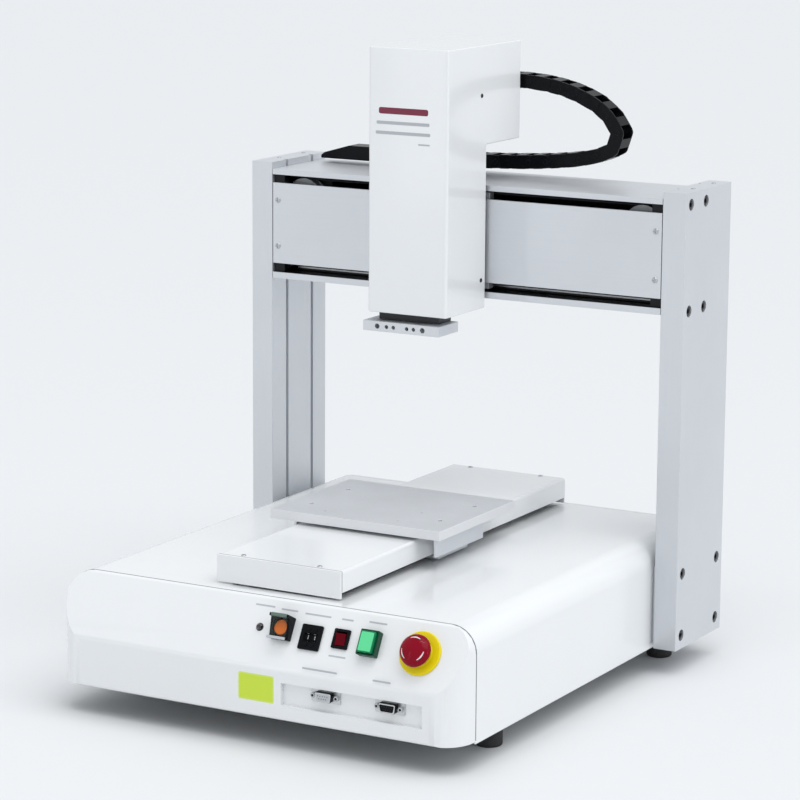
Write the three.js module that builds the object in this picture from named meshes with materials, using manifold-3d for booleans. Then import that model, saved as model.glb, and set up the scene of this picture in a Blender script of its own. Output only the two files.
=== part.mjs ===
// Benchtop Cartesian gantry robot: a base with a control panel, a work table on the Y axis,
// two columns, a beam with the X axis, and a head with the Z axis and its tool plate.
// Units are millimetres. +X is right seen from the front, +Y is towards the back, +Z is up.
// The origin is the centre of the outer box, on the surface that the feet stand on.

import * as THREE from "three";
import { mergeVertices } from "three/addons/utils/BufferGeometryUtils.js";
import Module from "manifold-3d";

const wasm = await Module();
wasm.setup();

// ---------------------------------------------------------------- driving dimensions

const GAP = 0.3; // clearance between two pieces that touch

const BASE = { side: 220.8, bottom: 25, top: 135, rear: 259.5, edgeRadius: 25, wall: 2.5 };
const PLATE_TOP = 30; // top of the steel plate that everything in the base stands on

// The front moulding: a narrow flat brow, a panel leaning back below it, and an upright face.
const BEZEL = { seam: -229.2, brow: 3, front: -264, bottom: 28, wall: 3, cornerRadius: 30 };
const LEAN = THREE.MathUtils.degToRad(28.5); // of the panel, from upright
const BROW_EDGE = BEZEL.seam - BEZEL.brow; // where the leaning panel starts, in Y

const COLUMN = { inner: 225, outer: 250, front: 142, rear: 252, bottom: 27, top: 490 };
const BEAM = { front: 142.3, rear: 250, bottom: 367.6, top: 483.2, floor: 374.3, roof: 477.4, back: 244 };
const BEAM_END = COLUMN.inner - GAP;

const HEAD = { x: -14.35, half: 45.15, front: 56.6, rear: 138.3, bottom: 358.7, top: 625, wall: 2 };
const HEAD_BOX = { rear: 210.7, bottom: 525 }; // the deeper upper part of the head cover
const SCREW_Y = 97; // the Z screw and its motor, from the front

const X_PULLEY = { x: 196, z: 452, radius: 19.9, front: 159, width: 12 };
const Y_PULLEY = { front: -176, rear: 218, z: 85, radius: 14, start: 31, width: 12 };
const BELT = { clearance: 0.3, thickness: 1.5 };

const TABLE = { y: 6.2, half: 78, side: 95.6, bottom: 166.5, top: 175.9 };
const Y_COVER = { side: 68, top: 163.2, skirt: 142.4, front: -209.2, rear: 253.6, wall: 2 };

const CHAIN = { front: 216, rear: 240, thickness: 14 };

// ---------------------------------------------------------------- materials

function material(color, roughness, metalness, opacity = 1) {
  const look = new THREE.MeshStandardMaterial({ color, roughness, metalness });
  look.opacity = opacity;
  look.transparent = opacity < 1;
  return look;
}

const WHITE = material(0xf1f3f5, 0.25, 0);
const ANODISED = material(0xc9ccd0, 0.4, 0.9);
const MATT_GREY = material(0xb4b7ba, 0.6, 0.6);
const STEEL = material(0x9fa3a8, 0.35, 1);
const ZINC = material(0xa8abad, 0.5, 0.8);
const BLACK_RUBBER = material(0x141415, 0.8, 0);
const BLACK_PLASTIC = material(0x1b1c1e, 0.5, 0);
const ORANGE = material(0xf08a1d, 0.35, 0);
const RED = material(0xc4161c, 0.3, 0);
const YELLOW = material(0xf2c40f, 0.4, 0);
const GREEN = material(0x1fae6a, 0.35, 0);
const DARK_GREEN = material(0x123f2d, 0.5, 0);
const CLEAR = material(0xe8eef0, 0.1, 0, 0.35);
const BOARD_GREEN = material(0x1c5a36, 0.5, 0);

// ---------------------------------------------------------------- shape helpers

// A box from three [low, high] pairs.
function box(x, y, z) {
  const spans = [x, y, z];
  const size = spans.map(([low, high]) => high - low);
  const middle = spans.map(([low, high]) => (low + high) / 2);
  return new THREE.BoxGeometry(...size).translate(...middle);
}

// A span of the given half width about a middle.
function about(middle, half) {
  return [middle - half, middle + half];
}

// A cylinder along an axis; centre holds the other two coordinates in X, Y, Z order.
function rod(axis, radius, [from, to], [a, b], sides = 20) {
  const cylinder = new THREE.CylinderGeometry(radius, radius, to - from, sides);
  const middle = (from + to) / 2;
  if (axis === "x") return cylinder.rotateZ(-Math.PI / 2).translate(middle, a, b);
  if (axis === "y") return cylinder.translate(a, middle, b);
  return cylinder.rotateX(Math.PI / 2).translate(a, b, middle);
}

// A closed outline from [x, y, corner radius] points; a corner with no radius stays sharp.
function outline(corners, steps = 5) {
  const points = [];
  corners.forEach(([x, y, radius = 0], i) => {
    const corner = new THREE.Vector2(x, y);
    if (radius === 0) {
      points.push(corner);
      return;
    }
    const before = new THREE.Vector2(...corners.at(i - 1).slice(0, 2)).sub(corner).normalize();
    const after = new THREE.Vector2(...corners.at((i + 1) % corners.length).slice(0, 2))
      .sub(corner)
      .normalize();
    const halfAngle = Math.acos(before.dot(after)) / 2;
    const inward = before.clone().add(after).normalize();
    const centre = corner.clone().addScaledVector(inward, radius / Math.sin(halfAngle));
    const start = corner.clone().addScaledVector(before, radius / Math.tan(halfAngle)).sub(centre);
    const end = corner.clone().addScaledVector(after, radius / Math.tan(halfAngle)).sub(centre);
    const sweep = Math.atan2(start.cross(end), start.dot(end));
    for (let k = 0; k <= steps; k++) {
      const turned = start.clone().rotateAround(new THREE.Vector2(), (sweep * k) / steps);
      points.push(turned.add(centre));
    }
  });
  return new THREE.Shape(points);
}

function extrude(shape, depth) {
  return new THREE.ExtrudeGeometry(shape, { depth, bevelEnabled: false, curveSegments: 12 });
}

const X_AXIS = new THREE.Vector3(1, 0, 0);
const Y_AXIS = new THREE.Vector3(0, 1, 0);
const Z_AXIS = new THREE.Vector3(0, 0, 1);

// An outline drawn in Y and Z, extruded along X.
function alongX(shape, [from, to]) {
  const turn = new THREE.Matrix4().makeBasis(Y_AXIS, Z_AXIS, X_AXIS);
  return extrude(shape, to - from).applyMatrix4(turn).translate(from, 0, 0);
}

// An outline drawn in X and Z, extruded along Y.
function alongY(shape, [from, to]) {
  const turn = new THREE.Matrix4().makeBasis(X_AXIS, Z_AXIS, Y_AXIS.clone().negate());
  return extrude(shape, to - from).applyMatrix4(turn).translate(0, to, 0);
}

// An outline drawn in X and Y, extruded along Z.
function alongZ(shape, [from, to]) {
  return extrude(shape, to - from).translate(0, 0, from);
}

// A turned shape about Z from [radius, height] points that start and end on the axis,
// or that close on themselves.
function turned(profile, sides = 24) {
  const points = profile.map(([radius, height]) => new THREE.Vector2(radius, height));
  return new THREE.LatheGeometry(points, sides).rotateX(Math.PI / 2);
}

// Two half circles joined by straight runs, centred on (x, y) with its length along x.
function stadium(x, y, halfLength, radius) {
  const path = new THREE.Shape();
  path.absarc(x + halfLength, y, radius, -Math.PI / 2, Math.PI / 2);
  path.absarc(x - halfLength, y, radius, Math.PI / 2, (3 * Math.PI) / 2);
  return path;
}

function toManifold(geometry) {
  const bare = geometry.clone();
  bare.deleteAttribute("normal");
  bare.deleteAttribute("uv");
  const merged = mergeVertices(bare, 1e-4);
  const mesh = new wasm.Mesh({
    numProp: 3,
    vertProperties: new Float32Array(merged.attributes.position.array),
    triVerts: new Uint32Array(merged.index.array),
  });
  return new wasm.Manifold(mesh);
}

function toGeometry(manifold) {
  const mesh = manifold.getMesh();
  const geometry = new THREE.BufferGeometry();
  geometry.setAttribute("position", new THREE.BufferAttribute(mesh.vertProperties, 3));
  geometry.setIndex(new THREE.BufferAttribute(mesh.triVerts, 1));
  return geometry;
}

function combine(operation, first, others) {
  const start = toManifold(first);
  return toGeometry(others.reduce((body, other) => body[operation](toManifold(other)), start));
}

const join = (first, ...others) => combine("add", first, others);
const cut = (first, ...others) => combine("subtract", first, others);
const common = (first, ...others) => combine("intersect", first, others);

const robot = new THREE.Group();

function add(name, geometry, look, parent = robot) {
  geometry.computeVertexNormals();
  const mesh = new THREE.Mesh(geometry, look);
  mesh.name = name;
  parent.add(mesh);
  return mesh;
}

// ---------------------------------------------------------------- base

// The base's cross-section seen from the front, with its two long top edges rounded.
function baseSection(inset, bottom) {
  const side = BASE.side - inset;
  const top = BASE.top - inset;
  const radius = BASE.edgeRadius - inset;
  return outline([
    [-side, bottom],
    [side, bottom],
    [side, top, radius],
    [-side, top, radius],
  ]);
}

function buildBasePlate() {
  const side = BASE.side - BASE.wall - 0.4;
  add("base_plate", box(about(0, side), [-226, 256.5], [26, PLATE_TOP]), ZINC);
}

function buildBaseCover() {
  const span = [BEZEL.seam + GAP, BASE.rear];
  const shell = alongY(baseSection(0, BASE.bottom), span);
  const hollow = alongY(baseSection(BASE.wall, BASE.bottom - 1), [span[0] - 1, span[1] + 1]);
  const tableSlot = box(about(0, 53.2), [-208, 249], [BASE.top - 10, BASE.top + 1]);
  add("base_cover", cut(shell, hollow, tableSlot), WHITE);
}

// Places a shape drawn on the leaning panel: local X across, local Y up it, local Z out of it.
function panelMatrix() {
  const turn = new THREE.Matrix4().makeRotationX(Math.PI / 2 - LEAN);
  return turn.setPosition(0, BROW_EDGE, BASE.top);
}

function onPanel(geometry) {
  return geometry.applyMatrix4(panelMatrix());
}

// The front moulding's outer shape, or its hollow when it is inset by the wall.
function bezelSolid(inset) {
  const back = inset ? BEZEL.seam + 1 : BEZEL.seam;
  const bottom = inset ? BEZEL.bottom - 1 : BEZEL.bottom;
  const front = BEZEL.front + inset;
  const top = BASE.top - inset;
  // The leaning panel's line, moved inwards by the inset.
  const steepness = 1 / Math.tan(LEAN);
  const panelHeight = (y) => BASE.top + (y - BROW_EDGE) * steepness - inset / Math.sin(LEAN);
  const panelTop = BROW_EDGE + (top - panelHeight(BROW_EDGE)) / steepness;
  const profile = outline([
    [back, bottom],
    [back, top],
    [panelTop, top, inset ? 1 : 4],
    [front, panelHeight(front), 12],
    [front, bottom, inset ? 0 : 3],
  ]);
  const side = BASE.side - inset;
  const cornerRadius = BEZEL.cornerRadius - inset;
  const plan = outline([
    [-side, front, cornerRadius],
    [side, front, cornerRadius],
    [side, back],
    [-side, back],
  ], 8);
  return common(
    alongX(profile, [-side - 1, side + 1]),
    alongZ(plan, [bottom - 1, BASE.top + 1]),
    alongY(baseSection(inset, bottom - 1), [front - 1, back + 1]),
  );
}

// Where each control sits on the leaning panel: x across, down from the panel's top edge.
const LAMP = { x: 0.9, down: 29.3 };
const PURGE = { x: 26.9, down: 27.6 };
const PROGRAM = { x: 57.6, down: 32 };
const MODE = { x: 89.2, down: 28.9 };
const START = { x: 120.8, down: 29.3 };
const STOP = { x: 172.8, down: 30.5 };

// The shallow recess in the upright face, and the connectors on its floor.
const RECESS = { x: [34.5, 184], z: [43, 64.5], floor: BEZEL.front + 4.5 };
const CONNECTOR = { xs: [81.2, 149], z: 57.9 };
const FRONT_REACH = 267; // how far the connectors and the rear switch stand out, front and back

// A rectangular cut-out for a control, drawn at the control's place on the panel.
function panelHole({ x, down }, halfWidth, halfHeight) {
  return onPanel(box(about(x, halfWidth), about(-down, halfHeight), [-12, 6]));
}

function buildFrontPanel() {
  const [left, right] = RECESS.x;
  const [low, high] = RECESS.z;
  const pocket = box([left - 3, right + 3], [BEZEL.front + 2, RECESS.floor + 3], [low - 3, high + 3]);
  const recess = box(RECESS.x, [BEZEL.front - 1, RECESS.floor], RECESS.z);
  const connectorHoles = CONNECTOR.xs.map((x) =>
    box(about(x, 10), [BEZEL.front - 1, RECESS.floor + 5], about(CONNECTOR.z, 5)),
  );
  const panel = cut(
    join(cut(bezelSolid(0), bezelSolid(BEZEL.wall)), pocket),
    recess,
    ...connectorHoles,
    onPanel(rod("z", 2.6, [-12, 6], [LAMP.x, -LAMP.down], 16)),
    panelHole(PURGE, 9, 10),
    panelHole(PROGRAM, 9.9, 10.8),
    panelHole(MODE, 7.2, 8.2),
    panelHole(START, 8.6, 11.2),
    onPanel(rod("z", 11.3, [-12, 6], [STOP.x, -STOP.down], 24)),
  );
  add("front_panel", panel, WHITE);
}

const INLET = { x: [-160, -90], z: [62, 90], y: BASE.rear + 3 };

function buildRearPanel() {
  const plate = alongY(baseSection(0, BASE.bottom), [BASE.rear + GAP, INLET.y]);
  const opening = box([-157.3, -92.7], [BASE.rear - 1, INLET.y + 1], [64.7, 87.3]);
  add("rear_panel", cut(plate, opening), WHITE);
}

function buildFeet() {
  const places = {
    foot_front_left: [-193, -150],
    foot_front_right: [193, -150],
    foot_rear_left: [-201, 210],
    foot_rear_right: [201, 210],
  };
  const profile = [[0, 0], [11.8, 0], [13, 1.6], [13, 22], [11, 25.7], [0, 25.7]];
  for (const [name, [x, y]] of Object.entries(places)) {
    add(name, turned(profile, 28), BLACK_RUBBER).position.set(x, y, 0);
  }
}

function buildInsideOfBase() {
  const floor = PLATE_TOP + GAP;
  const supply = alongY(
    outline([[-205, floor], [-75, floor], [-75, 85, 2], [-205, 85, 2]], 2),
    [-60, 140],
  );
  add("power_supply", supply, ZINC);

  const board = { x: [75, 205], y: [-150, 60], z: [38, 39.6] };
  const posts = [];
  for (const x of [board.x[0] + 8, board.x[1] - 8]) {
    for (const y of [board.y[0] + 8, board.y[1] - 8]) {
      posts.push(rod("z", 3, [floor, board.z[0] + 0.5], [x, y], 8));
    }
  }
  add("controller_board", join(box(board.x, board.y, board.z), ...posts), BOARD_GREEN);
}

// ---------------------------------------------------------------- controls on the front

const controls = new THREE.Group();
controls.applyMatrix4(panelMatrix());
robot.add(controls);

function addControl(name, geometry, look, { x, down }) {
  return add(name, geometry, look, controls).position.set(x, -down, 0);
}

// A switch body: a flange on the panel, a body through it, and a well for the moving piece.
function switchHousing({ flange, flangeTop, body, depth, well, wellFloor }) {
  return cut(
    join(
      alongZ(outline([
        [-flange[0], -flange[1], 1.2],
        [flange[0], -flange[1], 1.2],
        [flange[0], flange[1], 1.2],
        [-flange[0], flange[1], 1.2],
      ], 3), [GAP, flangeTop]),
      box(about(0, body[0]), about(0, body[1]), [-depth, GAP + 0.5]),
    ),
    box(about(0, well[0]), about(0, well[1]), [wellFloor, flangeTop + 1]),
  );
}

function buildLamp() {
  const lens = [[0, -8], [2.3, -8], [2.3, GAP], [3.1, GAP], [3.1, 1.2], [2.2, 2.4], [0, 2.9]];
  addControl("power_lamp", turned(lens, 16), RED, LAMP);
}

// The purge switch's housing is a wedge, higher at the top where its guard is hinged.
const WEDGE = { half: 10.1, reach: 11.1, low: 6, high: 12.5 };
const GUARD_HINGE = { y: 9.6, z: 14.4 };
const wedgeTop = (y) => {
  const share = (y + WEDGE.reach) / (2 * WEDGE.reach);
  return WEDGE.low + (WEDGE.high - WEDGE.low) * share;
};

function buildPurgeSwitch() {
  const { half, reach } = WEDGE;
  const wedge = alongX(outline([
    [-reach, GAP],
    [reach, GAP],
    [reach, wedgeTop(reach), 2.5],
    [-reach, wedgeTop(-reach), 1],
  ], 4), about(0, half));
  const body = box(about(0, 8.7), about(0, 9.7), [-18, GAP + 0.5]);
  const ears = [-1, 1].map((side) => box(about(side * 9.4, 0.7), [8, 10.8], [10, 15.6]));
  const well = rod("z", 7.9, [-8, 14], [0, 0], 24);
  addControl("purge_housing", cut(join(wedge, body, ...ears), well), BLACK_PLASTIC, PURGE);

  const cap = [[0, -5], [7.5, -5], [7.5, 6], [6.8, 6.7], [0, 6.7]];
  addControl("purge_button", turned(cap, 24), ORANGE, PURGE);

  // A clear plate along the wedge's face, with a lip at its free end and a hinge barrel.
  const lift = 0.4;
  const thick = 1.3;
  const plate = alongX(outline([
    [-reach - 0.4, wedgeTop(-reach - 0.4) + lift],
    [6.8, wedgeTop(6.8) + lift],
    [GUARD_HINGE.y, GUARD_HINGE.z - 0.6],
    [GUARD_HINGE.y, GUARD_HINGE.z + 0.9],
    [-reach - 1.6, wedgeTop(-reach) + lift + thick, 0.6],
    [-reach - 1.6, 3.6],
    [-reach - 0.4, 3.6],
  ], 3), about(0, 8.4));
  const barrel = rod("x", 1.2, [-8.4, 8.4], [GUARD_HINGE.y, GUARD_HINGE.z], 12);
  addControl("purge_guard", join(plate, barrel), CLEAR, PURGE);
}

const DIGIT_WHEEL = { radius: 8.5, z: -6.8, offset: 3.6, half: 3.2 };

function buildProgramSwitch() {
  const housing = switchHousing({
    flange: [11, 12],
    flangeTop: 2.5,
    body: [9.6, 10.5],
    depth: 20,
    well: [7.2, 4.4],
    wellFloor: DIGIT_WHEEL.z,
  });
  const drum = rod("x", DIGIT_WHEEL.radius + 0.6, [-7.2, 7.2], [0, DIGIT_WHEEL.z], 24);
  addControl("prog_switch_housing", cut(housing, drum), BLACK_PLASTIC, PROGRAM);

  // Ten flats, one for each digit, with a flat facing out of the window.
  for (const [name, side] of [["prog_wheel_tens", -1], ["prog_wheel_units", 1]]) {
    const span = about(side * DIGIT_WHEEL.offset, DIGIT_WHEEL.half);
    const wheel = rod("x", DIGIT_WHEEL.radius, span, [0, 0], 10);
    wheel.rotateX(Math.PI / 10).translate(0, 0, DIGIT_WHEEL.z);
    addControl(name, wheel, BLACK_PLASTIC, PROGRAM);
  }
}

// A rocker about a pivot at the origin, with a shallow V on top, tilted to one side.
function rockerProfile(halfLength, top, dip, bottom, tilt) {
  const points = [
    [-halfLength * 0.6, -bottom],
    [halfLength * 0.6, -bottom],
    [halfLength, 0],
    [halfLength, top],
    [0, top - dip],
    [-halfLength, top],
    [-halfLength, 0],
  ];
  return outline(points.map(([y, z]) => [
    y * Math.cos(tilt) - z * Math.sin(tilt),
    y * Math.sin(tilt) + z * Math.cos(tilt),
  ]));
}

const ROCKER_TILT = THREE.MathUtils.degToRad(8);
const MODE_PIVOT = -2;

function buildModeSwitch() {
  const housing = switchHousing({
    flange: [8.4, 9.4],
    flangeTop: 2.2,
    body: [6.9, 7.9],
    depth: 14,
    well: [5.5, 6.8],
    wellFloor: -9,
  });
  addControl("mode_switch_housing", housing, BLACK_PLASTIC, MODE);
  const rocker = alongX(rockerProfile(5.6, 5.2, 0.8, 4, ROCKER_TILT), [-5.1, 5.1]);
  addControl("mode_rocker", rocker.translate(0, 0, MODE_PIVOT), RED, MODE);
}

function buildStartSwitch() {
  const housing = switchHousing({
    flange: [9.8, 12.2],
    flangeTop: 8,
    body: [8.3, 10.9],
    depth: 16,
    well: [8, 10.6],
    wellFloor: -4,
  });
  addControl("start_housing", housing, DARK_GREEN, START);
  const key = alongZ(outline([
    [-7.7, -10.2, 1],
    [7.7, -10.2, 1],
    [7.7, 10.2, 1],
    [-7.7, 10.2, 1],
  ], 3), [-0.5, 11.2]);
  addControl("start_button", key, GREEN, START);
}

function buildStopSwitch() {
  const ring = [
    [8.3, -20], [11, -20], [11, GAP], [21, GAP], [21, 1.6], [20.2, 2.4],
    [13, 2.6], [12.4, 3.2], [8.3, 3.2], [8.3, -20],
  ];
  addControl("estop_ring", turned(ring, 32), YELLOW, STOP);
  addControl("estop_stem", rod("z", 7.9, [-18, 7.2], [0, 0], 20), BLACK_PLASTIC, STOP);
  const head = [
    [0, 7.5], [10, 7.5], [14.6, 9], [15.5, 11], [15, 13.5], [13, 15.8], [9, 17.5], [4.5, 18.3], [0, 18.5],
  ];
  addControl("estop_head", turned(head, 32), RED, STOP);
}

function buildConnectors() {
  const names = ["teach_connector", "serial_connector"];
  const face = RECESS.floor - GAP;
  CONNECTOR.xs.forEach((x, i) => {
    const flange = alongY(outline([
      [x - 15.5, CONNECTOR.z - 6.3, 1],
      [x + 15.5, CONNECTOR.z - 6.3, 1],
      [x + 15.5, CONNECTOR.z + 6.3, 1],
      [x - 15.5, CONNECTOR.z + 6.3, 1],
    ], 2), [face - 1, face]);
    const shell = alongY(outline([
      [x - 7.6, CONNECTOR.z - 4.2, 1.5],
      [x + 7.6, CONNECTOR.z - 4.2, 1.5],
      [x + 8.8, CONNECTOR.z + 4.2, 1.5],
      [x - 8.8, CONNECTOR.z + 4.2, 1.5],
    ], 3), [-FRONT_REACH, face - 0.5]);
    const body = box(about(x, 9.6), [face - 0.5, face + 12], about(CONNECTOR.z, 4.6));
    add(names[i], join(flange, shell, body), ZINC);
  });
}

const MAIN_ROCKER = { x: -110, y: FRONT_REACH - 9.26, z: 76 };

function buildPowerInlet() {
  const flange = alongY(outline([
    [INLET.x[0], INLET.z[0], 2],
    [INLET.x[1], INLET.z[0], 2],
    [INLET.x[1], INLET.z[1], 2],
    [INLET.x[0], INLET.z[1], 2],
  ], 2), [INLET.y + GAP, INLET.y + 2.1]);
  const body = box([-157, -93], [236, INLET.y + 1], [65, 87]);
  const socket = box([-155, -131], [246, INLET.y + 3], [68, 84]);
  const rockerWell = box(about(MAIN_ROCKER.x, 9), [246, INLET.y + 3], about(MAIN_ROCKER.z, 9.4));
  add("power_inlet", cut(join(flange, body), socket, rockerWell), BLACK_PLASTIC);

  const profile = rockerProfile(8.2, 8.2, 1.4, 5, ROCKER_TILT);
  const rocker = alongX(profile, [-8.6, 8.6]).rotateX(-Math.PI / 2);
  add("main_rocker", rocker, BLACK_PLASTIC).position.set(MAIN_ROCKER.x, MAIN_ROCKER.y, MAIN_ROCKER.z);
}

// ---------------------------------------------------------------- columns and beam

const COLUMN_BOLTS = [
  { rows: [477.7, 371.7], ys: [155, 190.4] }, // into the ends of the beam
  { rows: [104.8, 41], ys: [155, 238.3] }, // into the frame of the base
];

function buildColumn(name, side) {
  const grooves = [172, 223];
  const groove = { half: 2.5, depth: 4 };
  const corners = [[COLUMN.outer, COLUMN.front, 1], [COLUMN.outer, COLUMN.rear, 1], [COLUMN.inner, COLUMN.rear, 1]];
  for (const y of grooves.toReversed()) {
    corners.push([COLUMN.inner, y + groove.half], [COLUMN.inner + groove.depth, y + groove.half]);
    corners.push([COLUMN.inner + groove.depth, y - groove.half], [COLUMN.inner, y - groove.half]);
  }
  corners.push([COLUMN.inner, COLUMN.front, 1]);
  const section = corners.map(([x, y, radius]) => [side * x, y, radius]);
  const ordered = side > 0 ? section : section.toReversed();
  const foot = [BASE.side + GAP, COLUMN.inner + 0.5].map((x) => side * x).sort((a, b) => a - b);
  const bores = COLUMN_BOLTS.flatMap(({ rows, ys }) =>
    rows.flatMap((z) =>
      ys.map((y) => {
        const span = [COLUMN.outer - 6, COLUMN.outer + 1].map((x) => side * x).sort((a, b) => a - b);
        return rod("x", 6, span, [y, z], 20);
      }),
    ),
  );
  const post = join(
    alongZ(outline(ordered, 2), [COLUMN.bottom, COLUMN.top]),
    box(foot, [148, 246], [33, 110]),
  );
  add(name, cut(post, ...bores), ANODISED);
}

function buildBeam() {
  const channel = alongX(outline([
    [BEAM.front, BEAM.bottom],
    [BEAM.rear, BEAM.bottom, 2],
    [BEAM.rear, BEAM.top, 2],
    [BEAM.front, BEAM.top],
    [BEAM.front, BEAM.roof],
    [BEAM.back, BEAM.roof],
    [BEAM.back, BEAM.floor],
    [BEAM.front, BEAM.floor],
  ], 2), about(0, BEAM_END));
  const coverPosts = [-1, 1].map((side) =>
    box(
      [212, BEAM_END - 0.2].map((x) => side * x).sort((a, b) => a - b),
      [BEAM.front + 3.3, 157],
      [BEAM.floor - 1, BEAM.roof + 1],
    ),
  );
  const idlerPost = rod("y", 8, [176, BEAM.back + 1], [X_PULLEY.x, X_PULLEY.z], 16);
  add("beam", join(channel, ...coverPosts, idlerPost), ANODISED);
  const cover = box(about(0, BEAM_END - GAP), [BEAM.front, BEAM.front + 3], [383.6, 468.9]);
  add("x_cover_plate", cover, ANODISED);
}

// ---------------------------------------------------------------- X axis

// A toothed belt's loop seen from the side: the space between two stadium outlines.
function beltLoop(middle, height, halfLength, pulleyRadius) {
  const inner = pulleyRadius + BELT.clearance;
  const loop = stadium(middle, height, halfLength, inner + BELT.thickness);
  loop.holes.push(stadium(middle, height, halfLength, inner));
  return loop;
}

// A flanged pulley with its hub, turned about Z from zero upwards.
function pulley(radius, width, hubRadius, hubEnd) {
  const rim = radius + 1.5;
  return turned([
    [0, 0], [rim, 0], [rim, 1], [radius, 1], [radius, width - 1], [rim, width - 1],
    [rim, width], [hubRadius, width], [hubRadius, hubEnd], [0, hubEnd],
  ], 28);
}

function buildXDrive() {
  add("x_rail", box(about(0, 208), [165, 177], [BEAM.floor + GAP, 381]), STEEL);

  const loop = beltLoop(0, X_PULLEY.z, X_PULLEY.x, X_PULLEY.radius);
  const beltSpan = [X_PULLEY.front + 1.3, X_PULLEY.front + X_PULLEY.width - 1.3];
  add("x_belt", alongY(loop, beltSpan), BLACK_RUBBER);

  for (const [name, side] of [["x_drive_pulley", -1], ["x_idler_pulley", 1]]) {
    const wheel = pulley(X_PULLEY.radius, X_PULLEY.width, 6, 16.7).rotateX(-Math.PI / 2);
    add(name, wheel, MATT_GREY).position.set(side * X_PULLEY.x, X_PULLEY.front, X_PULLEY.z);
  }

  const motor = motorBody(24, 56).rotateX(-Math.PI / 2);
  add("x_motor", motor, BLACK_PLASTIC).position.set(-X_PULLEY.x, 176, X_PULLEY.z);
}

// A square motor with cut corners, standing on z = 0.
function motorBody(half, length) {
  const corner = half - 5;
  return alongZ(outline([
    [-corner, -half], [corner, -half], [half, -corner], [half, corner],
    [corner, half], [-corner, half], [-half, corner], [-half, -corner],
  ]), [0, length]);
}

function buildXCarriage() {
  const plate = box(about(HEAD.x, 45), [147, 156], [376.5, 475.5]);
  const arms = [[470.8, 475.5], [376.5, 382]].map((z) => box(about(HEAD.x, 40), [136.3, 148], z));
  const runner = box(about(HEAD.x, 35), [155, 187], [376.5, 398]);
  const railSlot = box(about(HEAD.x, 60), [164.6, 177.4], [370, 381.4]);
  const clamp = box(about(HEAD.x, 15), [155, 175], [463, 476.5]);
  const beltSlot = box(about(HEAD.x, 20), [159.5, 170.5], [471.8, 474.2]);
  add("x_carriage", cut(join(plate, ...arms, runner, clamp), railSlot, beltSlot), MATT_GREY);
}

// ---------------------------------------------------------------- head and Z axis

function buildHead() {
  const frame = box(about(HEAD.x, 42), [128, 136], [362, 604]);
  const motorShelf = box(about(HEAD.x, 30), [70, 129], [532, 538]);
  const shaftHole = rod("z", 9.5, [530, 540], [HEAD.x, SCREW_Y], 20);
  add("head_frame", cut(join(frame, motorShelf), shaftHole), MATT_GREY);

  const skin = HEAD.wall;
  const inner = about(HEAD.x, HEAD.half - skin);
  const plan = (rear) =>
    outline([
      [HEAD.x - HEAD.half, HEAD.front, 3],
      [HEAD.x + HEAD.half, HEAD.front, 3],
      [HEAD.x + HEAD.half, rear],
      [HEAD.x - HEAD.half, rear],
    ], 3);
  const shell = join(
    alongZ(plan(HEAD.rear), [HEAD.bottom, HEAD_BOX.bottom + 5]),
    alongZ(plan(HEAD_BOX.rear), [HEAD_BOX.bottom, HEAD.top]),
  );
  const column = box(inner, [HEAD.front + skin, HEAD.rear - skin], [HEAD.bottom - 1, HEAD.top - skin]);
  const backOpening = box(inner, [HEAD.rear - 10, HEAD.rear + 1], [HEAD.bottom - 1, HEAD_BOX.bottom - skin]);
  const loft = box(inner, [100, HEAD_BOX.rear - skin], [HEAD_BOX.bottom + skin, HEAD.top - skin]);
  add("head_cover", cut(shell, column, backOpening, loft), WHITE);
}

function buildZDrive() {
  add("z_rail", box(about(HEAD.x, 8), [118, 127.7], [380, 525]), STEEL);

  const motor = motorBody(21, 62);
  add("z_motor", motor, BLACK_PLASTIC).position.set(HEAD.x, SCREW_Y, 538.3);

  const screw = turned([[0, 385], [5, 385], [5, 518], [7.5, 518], [7.5, 538], [0, 538]], 16);
  add("z_screw", screw, STEEL).position.set(HEAD.x, SCREW_Y, 0);

  const body = box(about(HEAD.x, 26), [78, 117.6], [356, 515]);
  const footBar = box([-52.7, 16], [68.5, 94], [350.4, 357]);
  const screwBore = rod("z", 6.5, [349, 516], [HEAD.x, SCREW_Y], 16);
  add("z_slider", cut(join(body, footBar), screwBore), BLACK_PLASTIC);

  const plate = box([-63, 24], [53.6, 94.5], [339.8, 350.1]);
  const holes = [
    { xs: [-46.7, 5.2], radius: 2.7 },
    { xs: [-36, -28.1, -12.7, -5], radius: 2 },
  ].flatMap(({ xs, radius }) => xs.map((x) => rod("y", radius, [50, 66], [x, 345], 12)));
  add("tool_plate", cut(plate, ...holes), ANODISED);
}

// ---------------------------------------------------------------- cable chain

// The middle line of the chain in X and Z: from its fixed end on the beam, out to the right,
// round its bend and back to the head.
const CHAIN_END = 583; // height of the chain's middle where it meets the head
const CHAIN_LINE = new THREE.SplineCurve([
  [-213, 495], [-100, 496], [-15, 497], [66, 502], [112, 509.5], [134, 519],
  [139.5, 530], [133, 545], [112, 563], [75, 577], [50, 581], [23, CHAIN_END], [-20, CHAIN_END],
].map(([x, z]) => new THREE.Vector2(x, z)));
const CHAIN_LENGTH = CHAIN_LINE.getLength();

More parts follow.
